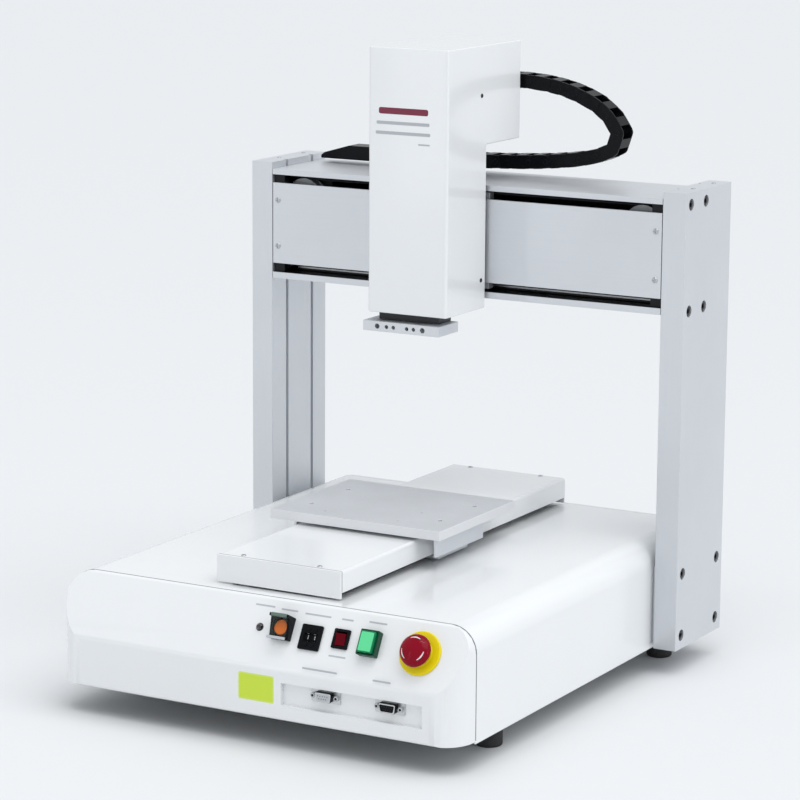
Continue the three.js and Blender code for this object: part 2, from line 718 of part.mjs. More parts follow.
// A stretch of the chain between two shares of its length, short of its neighbours by a gap.
function chainBand([from, to], steps) {
  const start = from + GAP / CHAIN_LENGTH;
  const end = to - GAP / CHAIN_LENGTH;
  const upperSide = [];
  const lowerSide = [];
  for (let k = 0; k <= steps; k++) {
    const share = start + ((end - start) * k) / steps;
    const here = CHAIN_LINE.getPointAt(share);
    const along = CHAIN_LINE.getTangentAt(share);
    const across = new THREE.Vector2(-along.y, along.x).multiplyScalar(CHAIN.thickness / 2);
    upperSide.push(here.clone().add(across));
    lowerSide.push(here.clone().sub(across));
  }
  const shape = new THREE.Shape([...lowerSide, ...upperSide.reverse()]);
  return alongY(shape, [CHAIN.front, CHAIN.rear]);
}

function buildChain() {
  const [bendStart, bendEnd] = [0.516, 0.824];
  add("chain_lower", chainBand([0, bendStart], 12), BLACK_PLASTIC);
  add("chain_bend", chainBand([bendStart, bendEnd], 20), BLACK_PLASTIC);
  add("chain_upper", chainBand([bendEnd, 1], 6), BLACK_PLASTIC);

  const shelfTop = CHAIN_END - CHAIN.thickness / 2 - GAP;
  const back = box([-26, 18], [HEAD_BOX.rear + GAP, HEAD_BOX.rear + 3], [550, 604]);
  const shelf = box([-26, 18], [HEAD_BOX.rear + 1, CHAIN.rear + 2], [shelfTop - 3, shelfTop]);
  add("chain_bracket", join(back, shelf), ZINC);
}

// ---------------------------------------------------------------- Y axis and work table

function buildYFrame() {
  const span = [-206, 246];
  const floor = box(about(0, 52), span, [PLATE_TOP + GAP, 36]);
  const walls = [-1, 1].map((side) => box(about(side * 49.5, 2.5), span, [35, 118]));
  const rib = box(about(0, 8), span, [35, 100]);
  const posts = [-1, 1].flatMap((side) =>
    [-201, 242].map((y) => box(about(side * 42.5, 6), about(y, 4), [35, Y_COVER.top - Y_COVER.wall - GAP])),
  );
  const motorHole = rod("x", 9, [40, 60], [Y_PULLEY.rear, Y_PULLEY.z], 20);
  add("y_frame", cut(join(floor, ...walls, rib, ...posts), motorHole), ANODISED);
  add("y_rail", box(about(0, 10), [-195, 236], [100 + GAP, 110]), STEEL);
}

function buildYDrive() {
  const middle = (Y_PULLEY.front + Y_PULLEY.rear) / 2;
  const loop = beltLoop(middle, Y_PULLEY.z, Y_PULLEY.rear - middle, Y_PULLEY.radius);
  const beltSpan = [Y_PULLEY.start + 1.3, Y_PULLEY.start + Y_PULLEY.width - 1.3];
  add("y_belt", alongX(loop, beltSpan), BLACK_RUBBER);

  const wheels = [
    ["y_idler_pulley", Y_PULLEY.front, 15.7],
    ["y_drive_pulley", Y_PULLEY.rear, 22.4],
  ];
  for (const [name, y, hubEnd] of wheels) {
    const wheel = pulley(Y_PULLEY.radius, Y_PULLEY.width, 5, hubEnd).rotateY(Math.PI / 2);
    add(name, wheel, MATT_GREY).position.set(Y_PULLEY.start, y, Y_PULLEY.z);
  }
  const motor = motorBody(24, 58).rotateY(Math.PI / 2);
  add("y_motor", motor, BLACK_PLASTIC).position.set(53.8, Y_PULLEY.rear, Y_PULLEY.z);
}

function buildYCover() {
  const { side, top, skirt, wall } = Y_COVER;
  const skin = alongY(outline([
    [-side, skirt], [-side + wall, skirt], [-side + wall, top - wall, 1],
    [side - wall, top - wall, 1], [side - wall, skirt], [side, skirt],
    [side, top, 3], [-side, top, 3],
  ], 3), [Y_COVER.front, Y_COVER.rear]);
  const rearWall = box(about(0, side), [Y_COVER.rear - wall, Y_COVER.rear], [137, top - 3]);
  add("y_cover", join(skin, rearWall), WHITE);
  const frontPlate = box(about(0, side), [Y_COVER.front - 3.3, Y_COVER.front - GAP], [137, top]);
  add("y_cover_front_plate", frontPlate, WHITE);
}

function buildTable() {
  const web = { y: about(TABLE.y, 40), z: [137.5, 141] };
  const block = box(about(0, 28), web.y, [104, web.z[0] - GAP]);
  const railSlot = box(about(0, 10.4), about(TABLE.y, 60), [90, 110.4]);
  const clamp = box([27, 43.4], about(TABLE.y, 12), [93.5, 115]);
  const beltSlot = box([31.5, 42.5], about(TABLE.y, 20), [98.4, 101.7]);
  add("y_guide_block", cut(join(block, clamp), railSlot, beltSlot), STEEL);

  // On the right a bar runs forward outside the cover; its foot steps in under the plate.
  const inner = 72;
  const underPlate = TABLE.bottom - GAP;
  const BAR_END = TABLE.y + 20.8;
  const webSpan = [web.y[0], BAR_END];
  const pieces = [
    box([-91, inner + 1.5], webSpan, web.z),
    box([-91, -88], webSpan, [web.z[0], underPlate]),
    box(about(inner, 1.5), webSpan, [web.z[0], 152]),
    box([inner - 1.5, 91], webSpan, [149, 152]),
    box([88, 91], [TABLE.y - 76, BAR_END], [149, underPlate]),
  ];
  add("table_bracket", join(...pieces), ANODISED);

  const plate = box(about(0, TABLE.side), about(TABLE.y, TABLE.half), [TABLE.bottom, TABLE.top]);
  const holes = [-73, 73].flatMap((x) =>
    [-36, 36].map((y) => rod("z", 2.6, [TABLE.bottom - 1, TABLE.top + 1], [x, TABLE.y + y], 14)),
  );
  add("table_plate", cut(plate, ...holes), MATT_GREY);
}

// ---------------------------------------------------------------- assembly

buildBasePlate();
buildBaseCover();
buildFrontPanel();
buildRearPanel();
buildFeet();
buildInsideOfBase();
buildLamp();
buildPurgeSwitch();
buildProgramSwitch();
buildModeSwitch();
buildStartSwitch();
buildStopSwitch();
buildConnectors();
buildPowerInlet();
buildColumn("left_column", -1);
buildColumn("right_column", 1);
buildBeam();
buildXDrive();
buildXCarriage();
buildHead();
buildZDrive();
buildChain();
buildYFrame();
buildYDrive();
buildYCover();
buildTable();

export default robot;
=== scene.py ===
"""Benchtop Cartesian robot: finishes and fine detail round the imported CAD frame.

Metres, X right, Y back, Z up. The front of the robot faces -Y and its feet stand on Z = 0.
"""

import math

import bmesh
import bpy
from mathutils import Matrix, Vector


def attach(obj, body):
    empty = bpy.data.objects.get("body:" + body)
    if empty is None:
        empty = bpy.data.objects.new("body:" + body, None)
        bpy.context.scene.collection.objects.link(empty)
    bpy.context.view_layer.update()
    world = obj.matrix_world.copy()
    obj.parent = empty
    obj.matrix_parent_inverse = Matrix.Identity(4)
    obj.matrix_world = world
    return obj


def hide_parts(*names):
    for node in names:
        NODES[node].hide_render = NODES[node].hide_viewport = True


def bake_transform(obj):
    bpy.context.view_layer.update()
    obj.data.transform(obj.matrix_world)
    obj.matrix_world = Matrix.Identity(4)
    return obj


MM = 0.001

# Camera and light
CAMERA_PLACE = (1.5174, -2.6744, 0.8927)
CAMERA_TARGET = (0.0058, 0.0085, 0.2823)
CAMERA_LENS = 142.7
CAMERA_ROLL = 0.37
FLOOR = (0.75, 0.76, 0.77)
SURROUND = 0.78
KEY = 1.25

# Driving places on the robot, in millimetres
BASE_SIDE = 220.8
BASE_TOP = 135.0
BASE_RADIUS = 25.0
FRONT_FACE = -264.0
COLUMN_FACE = 250.0
COLUMN_TOP = 490.0
BEAM_FRONT = 142.3
HEAD_CENTRE = -14.35
HEAD_HALF = 45.15
HEAD_FRONT = 56.6
TABLE_TOP = 175.9
Y_COVER_TOP = 163.2
REAR_FACE = 262.5
CONNECTOR_Z = 57.9
CONNECTOR_XS = (81.2, 149.0)
Y_COVER_HALF = 68.0

# The beam's inside in metres: its floor, its roof, how far back it goes, and the near-black
# colour painted there as the shade inside its slot
BEAM_SLOT_SHADE = (0.3743, 0.4774, 0.2465, (0.012, 0.012, 0.014))

# The sloping control panel: its frame has x to the right, y up the slope and z out of the face
PANEL_ORIGIN = (0.0, -232.2, 135.0)
PANEL_TILT = math.radians(61.5)

# Controls on the panel: x and distance down from the panel's upper edge
LAMP = (0.9, 29.3)
PURGE = (26.9, 27.6)
PROGRAM_DOWN = 32.0
PROGRAM_WHEELS = ((54.0, "tens"), (61.2, "units"))
START = (120.8, 29.3)
STOP = (172.8, 30.5)

# Painted highlight arcs on the stop button, shaped as twist marks: radius of the arcs,
# and height and slope of the dome under them
TWIST_HIGHLIGHT_RADIUS = 11.3
DOME_HEIGHT = 16.52
DOME_FALL = 0.425

# Cable chain: centreline in the X-Z plane, seen from the front
CHAIN_LINE = (
    (-213, 495), (-100, 496), (-15, 497), (66, 502), (112, 509.5), (134, 519), (139.5, 530),
    (133, 545), (112, 563), (75, 577), (50, 581), (23, 583), (-20, 583),
)
# Shares of its length: free of the beam, on the bend's body between these two, held by the head
CHAIN_FREE = 0.13
CHAIN_SPLITS = (0.52, 0.66)
CHAIN_HELD = 0.97
CHAIN_Y = (216.0, 240.0)
CHAIN_THICK = 14.0
CHAIN_PITCH = 19.5
CHAIN_WEDGE_END = -145.0

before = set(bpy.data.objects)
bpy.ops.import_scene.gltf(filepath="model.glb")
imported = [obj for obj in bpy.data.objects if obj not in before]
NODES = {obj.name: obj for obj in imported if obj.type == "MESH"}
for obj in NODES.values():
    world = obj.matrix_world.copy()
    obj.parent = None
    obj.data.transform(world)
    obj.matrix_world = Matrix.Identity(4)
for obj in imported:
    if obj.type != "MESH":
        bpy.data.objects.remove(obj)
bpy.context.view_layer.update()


# ---------------------------------------------------------------- materials

def shader(name):
    """A new material with its node tree, its links and its Principled shader."""
    material = bpy.data.materials.new(name)
    material.use_nodes = True
    tree = material.node_tree
    return material, tree.nodes, tree.links, tree.nodes["Principled BSDF"]


def noise(nodes, links, coords, scale, stretch, detail=3.0, roughness=0.55):
    """Noise over the object's own coordinates, stretched by a scale on each axis."""
    mapping = nodes.new("ShaderNodeMapping")
    mapping.inputs["Scale"].default_value = stretch
    links.new(coords, mapping.inputs["Vector"])
    texture = nodes.new("ShaderNodeTexNoise")
    texture.inputs["Scale"].default_value = scale
    texture.inputs["Detail"].default_value = detail
    texture.inputs["Roughness"].default_value = roughness
    links.new(mapping.outputs["Vector"], texture.inputs["Vector"])
    return texture.outputs["Fac"]


def spread(nodes, links, value, low, high, start=0.3, end=0.7):
    """Maps start..end of a value to low..high."""
    ranged = nodes.new("ShaderNodeMapRange")
    ranged.inputs["From Min"].default_value = start
    ranged.inputs["From Max"].default_value = end
    ranged.inputs["To Min"].default_value = low
    ranged.inputs["To Max"].default_value = high
    links.new(value, ranged.inputs["Value"])
    return ranged.outputs["Result"]


def mixed(nodes, links, factor, first, second):
    """A colour mix; first and second are colours or sockets."""
    mix = nodes.new("ShaderNodeMix")
    mix.data_type = "RGBA"
    links.new(factor, mix.inputs["Factor"])
    for label, value in (("A", first), ("B", second)):
        socket = [s for s in mix.inputs if s.name == label and s.type == "RGBA"][0]
        if isinstance(value, tuple):
            socket.default_value = (*value, 1.0)
        else:
            links.new(value, socket)
    return [s for s in mix.outputs if s.type == "RGBA"][0]


def both(nodes, links, first, second):
    """Multiplies two masks."""
    node = nodes.new("ShaderNodeMath")
    node.operation = "MULTIPLY"
    links.new(first, node.inputs[0])
    links.new(second, node.inputs[1])
    return node.outputs["Value"]


def edge_mask(nodes, links, radius):
    """1 near an edge, within the radius, and 0 on flat faces."""
    bevel = nodes.new("ShaderNodeBevel")
    bevel.samples = 4
    bevel.inputs["Radius"].default_value = radius
    geometry = nodes.new("ShaderNodeNewGeometry")
    dot = nodes.new("ShaderNodeVectorMath")
    dot.operation = "DOT_PRODUCT"
    links.new(bevel.outputs["Normal"], dot.inputs[0])
    links.new(geometry.outputs["Normal"], dot.inputs[1])
    return spread(nodes, links, dot.outputs["Value"], 1.0, 0.0, 0.9, 0.99)


def surface(name, colour, roughness, metallic=0.0, grain=400.0, stretch=(1, 1, 1), relief=0.02,
            relief_depth=0.0002, shade=0.06, wear=None, wear_share=0.35, coat=0.0,
            alpha=1.0, specular=0.5, sides=None, band=None):
    """A procedural finish: slow blotches, fine grain in colour, roughness and relief, worn edges.

    sides is another colour for faces that do not look up; on the rail it paints a highlight on the
    top
    and shade on the sides. band is (low, high, rear, colour): another colour between two heights and
    in front of a depth, which paints the shade inside the beam's slot.
    """
    material, nodes, links, bsdf = shader(name)
    coords = nodes.new("ShaderNodeTexCoord").outputs["Object"]
    blotch = noise(nodes, links, coords, 9.0, (1, 1, 1), 3.0)
    fine = noise(nodes, links, coords, grain, stretch, 4.0, 0.6)
    dark = tuple(c * (1 - shade) for c in colour)
    light = tuple(min(1.0, c * (1 + shade * 0.6)) for c in colour)
    base = mixed(nodes, links, spread(nodes, links, blotch, 0.0, 1.0), dark, light)
    grainy = mixed(nodes, links, spread(nodes, links, fine, 0.0, 0.35), base, dark)
    if sides is not None:
        geometry = nodes.new("ShaderNodeNewGeometry")
        split = nodes.new("ShaderNodeSeparateXYZ")
        links.new(geometry.outputs["True Normal"], split.inputs["Vector"])
        upward = spread(nodes, links, split.outputs["Z"], 0.0, 1.0, 0.8, 0.98)
        grainy = mixed(nodes, links, upward, sides, grainy)
    if band is not None:
        height = nodes.new("ShaderNodeSeparateXYZ")
        links.new(coords, height.inputs["Vector"])
        # The band's colour is painted shade: the dark inside of the beam's slot.
        low, high, rear, band_shade_colour = band
        above = spread(nodes, links, height.outputs["Z"], 0.0, 1.0, low - 0.0002, low)
        below = spread(nodes, links, height.outputs["Z"], 1.0, 0.0, high, high + 0.0002)
        ahead = spread(nodes, links, height.outputs["Y"], 1.0, 0.0, rear, rear + 0.0002)
        between = both(nodes, links, above, below)
        inside = both(nodes, links, between, ahead)
        grainy = mixed(nodes, links, inside, grainy, band_shade_colour)
    if wear is not None:
        scuffs = noise(nodes, links, coords, 60.0, (1, 1, 1), 5.0, 0.7)
        patchy = spread(nodes, links, scuffs, 0.0, 1.0, 0.48, 0.62)
        worn = both(nodes, links, edge_mask(nodes, links, 0.0006), patchy)
        amount = spread(nodes, links, worn, 0.0, wear_share, 0.0, 1.0)
        grainy = mixed(nodes, links, amount, grainy, wear)
    links.new(grainy, bsdf.inputs["Base Color"])
    links.new(spread(nodes, links, fine, roughness * 0.9, min(1.0, roughness * 1.15)),
              bsdf.inputs["Roughness"])
    bump = nodes.new("ShaderNodeBump")
    bump.inputs["Strength"].default_value = relief
    bump.inputs["Distance"].default_value = relief_depth
    links.new(fine, bump.inputs["Height"])
    links.new(bump.outputs["Normal"], bsdf.inputs["Normal"])
    bsdf.inputs["Metallic"].default_value = metallic
    bsdf.inputs["Coat Weight"].default_value = coat
    bsdf.inputs["Coat Roughness"].default_value = 0.08
    bsdf.inputs["Alpha"].default_value = alpha
    bsdf.inputs["Specular IOR Level"].default_value = specular
    return material


ALUMINIUM = (0.68, 0.70, 0.73)
GREY_EDGE = (0.62, 0.63, 0.65)
FINISH = {}


def add_finish(name, *basics, **details):
    """Makes a finish with surface() and keeps it by its name."""
    FINISH[name] = surface(name, *basics, **details)


add_finish("white_paint", (0.82, 0.835, 0.845), 0.20, grain=500, relief=0.012, shade=0.012,
           wear=(0.66, 0.67, 0.69), wear_share=0.2, coat=0.4)
add_finish("anodised", ALUMINIUM, 0.42, 0.65, grain=1.0, stretch=(1400, 1400, 14), relief=0.12,
           shade=0.035, wear=(0.82, 0.83, 0.85))
add_finish("anodised_x", ALUMINIUM, 0.42, 0.65, grain=1.0, stretch=(14, 1400, 1400), relief=0.12,
           shade=0.035, wear=(0.82, 0.83, 0.85))
# The beam's finish paints near-black shade on its inside faces, within the slot.
add_finish("beam_aluminium_slot_shade", ALUMINIUM, 0.42, 0.65, grain=1.0, stretch=(14, 1400, 1400),
           relief=0.12, shade=0.035, band=BEAM_SLOT_SHADE)
# The rail's top is painted bright and its sides near black: a painted highlight and painted shade.
add_finish("rail_steel_painted_light", (0.80, 0.81, 0.82), 0.25, 0.5, grain=1.0, stretch=(30, 900, 900),
           relief=0.1, shade=0.05, sides=(0.03, 0.03, 0.033))
add_finish("matt_aluminium", (0.50, 0.515, 0.535), 0.48, 0.6, grain=1300, relief=0.15, shade=0.05,
           wear=(0.72, 0.73, 0.75))
add_finish("table_blasted", (0.60, 0.615, 0.64), 0.52, 0.3, grain=650, relief=0.25, shade=0.09,
           wear=(0.80, 0.81, 0.83), sides=(0.76, 0.77, 0.79))
add_finish("black_aluminium", (0.030, 0.031, 0.035), 0.38, 0.3, grain=900, relief=0.1, shade=0.15,
           wear=(0.20, 0.20, 0.22))
add_finish("steel", (0.56, 0.58, 0.60), 0.22, 1.0, grain=1.0, stretch=(30, 900, 900), relief=0.15,
           shade=0.08, wear=(0.80, 0.81, 0.82))
add_finish("zinc", (0.60, 0.62, 0.63), 0.33, 0.9, grain=260, relief=0.1, shade=0.12,
           wear=(0.78, 0.79, 0.80))
add_finish("supply_case", (0.55, 0.56, 0.57), 0.5, 0.4, grain=500, relief=0.1, shade=0.08,
           wear=GREY_EDGE)
add_finish("motor_case", (0.035, 0.036, 0.040), 0.42, 0.2, grain=700, relief=0.15, shade=0.15,
           wear=(0.30, 0.30, 0.31))
add_finish("circuit_board", (0.02, 0.14, 0.06), 0.35, grain=350, relief=0.1, shade=0.25,
           wear=(0.35, 0.33, 0.18))
add_finish("black_rubber", (0.022, 0.022, 0.024), 0.72, grain=800, relief=0.35, shade=0.2,
           wear=(0.09, 0.09, 0.09))
add_finish("black_plastic", (0.004, 0.0045, 0.006), 0.4, grain=1100, relief=0.1, shade=0.15,
           wear=(0.04, 0.04, 0.045), specular=0.1)
add_finish("chain_plastic", (0.003, 0.0035, 0.005), 0.3, grain=900, relief=0.1, shade=0.2,
           wear=(0.03, 0.03, 0.035), specular=0.13)
add_finish("orange_plastic", (0.80, 0.165, 0.004), 0.3, grain=900, relief=0.05, shade=0.05,
           wear=(0.95, 0.45, 0.15), specular=0.25)
add_finish("red_plastic", (0.24, 0.0005, 0.012), 0.12, grain=900, relief=0.02, shade=0.05,
           wear=(0.45, 0.05, 0.06), specular=0.14)
add_finish("rocker_red", (0.115, 0.0004, 0.006), 0.45, grain=900, relief=0.03, shade=0.05,
           wear=(0.25, 0.02, 0.03), specular=0.06)
add_finish("yellow_plastic", (0.82, 0.66, 0.003), 0.36, grain=900, relief=0.08, shade=0.05,
           wear=(0.90, 0.78, 0.20), specular=0.25)
add_finish("green_plastic", (0.004, 0.19, 0.075), 0.28, grain=900, relief=0.05, shade=0.05,
           wear=(0.10, 0.40, 0.22), specular=0.25)
add_finish("dark_green_plastic", (0.003, 0.060, 0.028), 0.36, grain=900, relief=0.1, shade=0.12,
           wear=(0.05, 0.16, 0.10), specular=0.25)
add_finish("clear_plastic", (0.22, 0.30, 0.26), 0.08, grain=500, relief=0.02, shade=0.03,
           wear=(0.50, 0.55, 0.52), alpha=0.05, specular=0.1)
add_finish("bolt_black", (0.018, 0.018, 0.020), 0.38, 0.5, grain=1400, relief=0.2, shade=0.2,
           wear=(0.16, 0.16, 0.17))
add_finish("screw_steel", (0.52, 0.53, 0.55), 0.26, 1.0, grain=1500, relief=0.1, shade=0.1,
           wear=(0.80, 0.80, 0.82))
add_finish("label", (0.60, 0.76, 0.07), 0.45, grain=1200, relief=0.08, shade=0.04,
           wear=(0.70, 0.78, 0.35), specular=0.2)
add_finish("label_edge", (0.66, 0.80, 0.16), 0.5, grain=1200, relief=0.08, shade=0.05,
           wear=(0.85, 0.86, 0.75))
add_finish("print_grey", (0.47, 0.49, 0.52), 0.5, grain=1500, relief=0.05, shade=0.08,
           wear=GREY_EDGE)
add_finish("print_dark", (0.20, 0.02, 0.05), 0.5, grain=1500, relief=0.05, shade=0.08,
           wear=(0.45, 0.30, 0.32))
add_finish("print_white", (0.72, 0.74, 0.75), 0.45, grain=1500, relief=0.05, shade=0.05,
           wear=(0.80, 0.80, 0.80))
add_finish("guard_tint", (0.10, 0.16, 0.13), 0.15, grain=500, relief=0.02, shade=0.1,
           wear=(0.45, 0.52, 0.48))
add_finish("contact", (0.75, 0.60, 0.28), 0.25, 1.0, grain=1500, relief=0.05, shade=0.08,
           wear=(0.85, 0.74, 0.45))
add_finish("mint", (0.12, 0.70, 0.31), 0.35, grain=900, relief=0.04, shade=0.03,
           wear=(0.35, 0.80, 0.50), specular=0.25)
# Dark grey of the strips over the joints: painted shade of the gaps.
add_finish("seam", (0.20, 0.205, 0.215), 0.7, grain=900, relief=0.1, shade=0.15,
           wear=(0.30, 0.30, 0.31), specular=0.1)
add_finish("lamp_glass", (0.012, 0.004, 0.010), 0.06, grain=300, relief=0.02, shade=0.2,
           wear=(0.25, 0.05, 0.05), coat=1.0)


# ---------------------------------------------------------------- CAD nodes

SMOOTH_BY_ANGLE = "smooth_by_angle"
SPECIAL_LOOKS = {
    "power_lamp": "lamp_glass", "table_plate": "table_blasted", "beam": "beam_aluminium_slot_shade",
    "x_rail": "rail_steel_painted_light", "mode_rocker": "rocker_red", "x_cover_plate": "anodised_x",
}
SHARP_EDGES = {"x_belt", "y_belt", "z_screw"}
BEVELS = {
    "base_cover": 1.2, "front_panel": 1.2, "head_cover": 1.1, "y_cover": 0.9,
    "y_cover_front_plate": 0.35, "rear_panel": 0.5, "left_column": 0.5, "right_column": 0.5,
    "beam": 0.5, "x_cover_plate": 0.5, "table_plate": 1.0, "table_bracket": 0.6,
    "tool_plate": 0.7, "purge_housing": 0.5, "purge_guard": 0.3, "start_housing": 0.6,
    "start_button": 0.8, "mode_rocker": 0.3, "mode_switch_housing": 0.5,
    "prog_switch_housing": 0.4, "purge_button": 0.6, "estop_head": 1.2, "estop_ring": 0.5,
    "prog_wheel_tens": 0.2, "prog_wheel_units": 0.2, "main_rocker": 0.5, "power_inlet": 0.5,
    "teach_connector": 0.25, "serial_connector": 0.25, "power_lamp": 0.2, "z_slider": 0.6,
    "x_rail": 0.4, "y_rail": 0.4, "z_rail": 0.4,
}


def smooth_group():
    """Geometry nodes that shade smooth and keep edges over 32 degrees sharp."""
    group = bpy.data.node_groups.new(SMOOTH_BY_ANGLE, "GeometryNodeTree")
    group.interface.new_socket("Geometry", in_out="INPUT", socket_type="NodeSocketGeometry")
    group.interface.new_socket("Geometry", in_out="OUTPUT", socket_type="NodeSocketGeometry")
    nodes = group.nodes
    entry = nodes.new("NodeGroupInput")
    leave = nodes.new("NodeGroupOutput")
    faces = nodes.new("GeometryNodeSetShadeSmooth")
    faces.domain = "FACE"
    edges = nodes.new("GeometryNodeSetShadeSmooth")
    edges.domain = "EDGE"
    edges.inputs["Shade Smooth"].default_value = False
    angle = nodes.new("GeometryNodeInputMeshEdgeAngle")
    sharp = nodes.new("FunctionNodeCompare")
    sharp.data_type = "FLOAT"
    sharp.operation = "GREATER_THAN"
    sharp.inputs["B"].default_value = math.radians(32)
    links = group.links
    links.new(entry.outputs["Geometry"], faces.inputs["Geometry"])
    links.new(faces.outputs["Geometry"], edges.inputs["Geometry"])
    links.new(angle.outputs["Unsigned Angle"], sharp.inputs["A"])
    links.new(sharp.outputs["Result"], edges.inputs["Selection"])
    links.new(edges.outputs["Geometry"], leave.inputs["Geometry"])
    return group


SMOOTH = smooth_group()


def soften(obj, width):
    """Joins split vertices, merges flat triangles, rounds the edges and evens out the shading."""
    obj.modifiers.new("weld", "WELD").merge_threshold = 0.00001
    flat = obj.modifiers.new("flatten", "DECIMATE")
    flat.decimate_type = "DISSOLVE"
    flat.angle_limit = math.radians(0.5)
    if width:
        bevel = obj.modifiers.new("bevel", "BEVEL")
        bevel.width = width * MM
        bevel.segments = 3
        bevel.limit_method = "ANGLE"
        bevel.angle_limit = math.radians(40)
        bevel.use_clamp_overlap = True
        bevel.miter_outer = "MITER_ARC"
    smooth = obj.modifiers.new("smooth", "NODES")
    smooth.node_group = SMOOTH
    weighted = obj.modifiers.new("even", "WEIGHTED_NORMAL")
    weighted.keep_sharp = True


def finish_nodes():
    """Every CAD node takes the finish of its slot, or its own one, with rounded edges."""
    for name, node in NODES.items():
        slot = node.data.materials[0].name.split(".")[0]
        look = SPECIAL_LOOKS.get(name, slot)
        node.material_slots[0].link = "OBJECT"
        node.material_slots[0].material = FINISH[look]
        if name in SHARP_EDGES:
            soften(node, 0)
        else:
            soften(node, BEVELS.get(name, 0.4))


# ---------------------------------------------------------------- building pieces

def piece(name, builder, finish, body, place=None, width=0.0, smooth=True):
    """A mesh piece made by builder(bmesh) in millimetres, placed and riding on a CAD body."""
    mesh = bpy.data.meshes.new(name)
    work = bmesh.new()
    builder(work)
    bmesh.ops.scale(work, vec=(MM, MM, MM), verts=work.verts)
    if place is not None:
        moved = place.copy()
        moved.translation = moved.translation * MM
        bmesh.ops.transform(work, matrix=moved, verts=work.verts)
    bmesh.ops.recalc_face_normals(work, faces=work.faces)
    work.to_mesh(mesh)
    work.free()
    obj = bpy.data.objects.new(name, mesh)
    bpy.context.scene.collection.objects.link(obj)
    mesh.materials.append(FINISH[finish])
    if smooth:
        soften(obj, width)
    if body is not None:
        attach(obj, body)
    return obj


def facing(x, y, z, direction):
    """A place at (x, y, z) whose local z points along the direction."""
    turn = Vector(direction).to_track_quat("Z", "Y").to_matrix().to_4x4()
    return Matrix.Translation((x, y, z)) @ turn


def on_panel(x, down, out=0.0):
    """A place on the sloping panel, with local z out of its face and y up the slope."""
    panel = Matrix.Translation(PANEL_ORIGIN) @ Matrix.Rotation(PANEL_TILT, 4, "X")
    return panel @ Matrix.Translation((x, -down, out))


def on_front(y, x=0.0, z=0.0):
    """An upright place facing the front at that y, with local x to the right and y up."""
    return Matrix(((1, 0, 0, x), (0, 0, -1, y), (0, 1, 0, z), (0, 0, 0, 1)))


def lathe(profile, sides=32):
    """Builder: turns a profile of (radius, height) pairs about local z, closed at radius 0."""
    def build(work):
        rings = []
        for radius, height in profile:
            if radius < 1e-6:
                rings.append([work.verts.new((0, 0, height))])
                continue
            ring = []
            for step in range(sides):
                turn = 2 * math.pi * step / sides
                spot = (radius * math.cos(turn), radius * math.sin(turn), height)
                ring.append(work.verts.new(spot))
            rings.append(ring)
        for lower, upper in zip(rings, rings[1:]):
            for step in range(sides):
                after = (step + 1) % sides
                if len(lower) == 1 and len(upper) == 1:
                    continue
                if len(lower) == 1:
                    work.faces.new((lower[0], upper[step], upper[after]))
                elif len(upper) == 1:
                    work.faces.new((lower[step], lower[after], upper[0]))
                else:
                    work.faces.new((lower[step], lower[after], upper[after], upper[step]))
    return build


def block(low, high):
    """Builder: a box between two corners."""
    def build(work):
        made = bmesh.ops.create_cube(work, size=1)["verts"]
        size = [b - a for a, b in zip(low, high)]
        middle = [(a + b) / 2 for a, b in zip(low, high)]
        bmesh.ops.scale(work, vec=size, verts=made)
        bmesh.ops.translate(work, vec=middle, verts=made)
    return build


def several(*builders):
    """Builder: several builders in one piece."""
    def build(work):
        for each in builders:
            each(work)
    return build


def shifted(builder, matrix):
    """Builder: another builder moved by a matrix."""
    def build(work):
        before = set(work.verts)
        builder(work)
        fresh = [v for v in work.verts if v not in before]
        bmesh.ops.transform(work, matrix=matrix, verts=fresh)
    return build


def slab(points, low, high):
    """Builder: a flat outline raised from low to high along local z."""
    def build(work):
        bottom = [work.verts.new((x, y, low)) for x, y in points]
        top = [work.verts.new((x, y, high)) for x, y in points]
        work.faces.new(list(reversed(bottom)))
        work.faces.new(top)
        count = len(points)
        for step in range(count):
            after = (step + 1) % count
            work.faces.new((bottom[step], bottom[after], top[after], top[step]))
    return build


def rounded(half_x, half_y, radius, steps=5):
    """Outline of a rectangle with round corners."""
    points = []
    corners = ((1, 1, 0), (-1, 1, 90), (-1, -1, 180), (1, -1, 270))
    for side_x, side_y, start in corners:
        for step in range(steps + 1):
            turn = math.radians(start + 90 * step / steps)
            points.append((side_x * (half_x - radius) + radius * math.cos(turn),
                           side_y * (half_y - radius) + radius * math.sin(turn)))
    return points


def socket_head(radius, height, key):
    """Builder: a cylinder head screw with a hexagon socket, its seat at z = 0."""
    def build(work):
        sides = 24
        low = height * 0.45
        lathe(((radius, 0), (radius, height * 0.86), (radius * 0.9, height)), sides)(work)
        rim = [v for v in work.verts if abs(v.co.z - height) < 1e-6
               and abs(v.co.xy.length - radius * 0.9) < 1e-4]
        rim.sort(key=lambda v: math.atan2(v.co.y, v.co.x))
        hexagon = []
        for step in range(sides):
            turn = math.atan2(rim[step].co.y, rim[step].co.x)
            within = (turn % (math.pi / 3)) - math.pi / 6
            reach = key * math.cos(math.pi / 6) / math.cos(within)
            hexagon.append((reach * math.cos(turn), reach * math.sin(turn)))
        upper = [work.verts.new((x, y, height)) for x, y in hexagon]
        lower = [work.verts.new((x, y, low)) for x, y in hexagon]
        for step in range(sides):
            after = (step + 1) % sides
            work.faces.new((rim[step], rim[after], upper[after], upper[step]))
            work.faces.new((upper[step], upper[after], lower[after], lower[step]))
        work.faces.new(lower)
        seat = [v for v in work.verts if abs(v.co.z) < 1e-6]
        seat.sort(key=lambda v: math.atan2(v.co.y, v.co.x))
        work.faces.new(list(reversed(seat)))
    return build


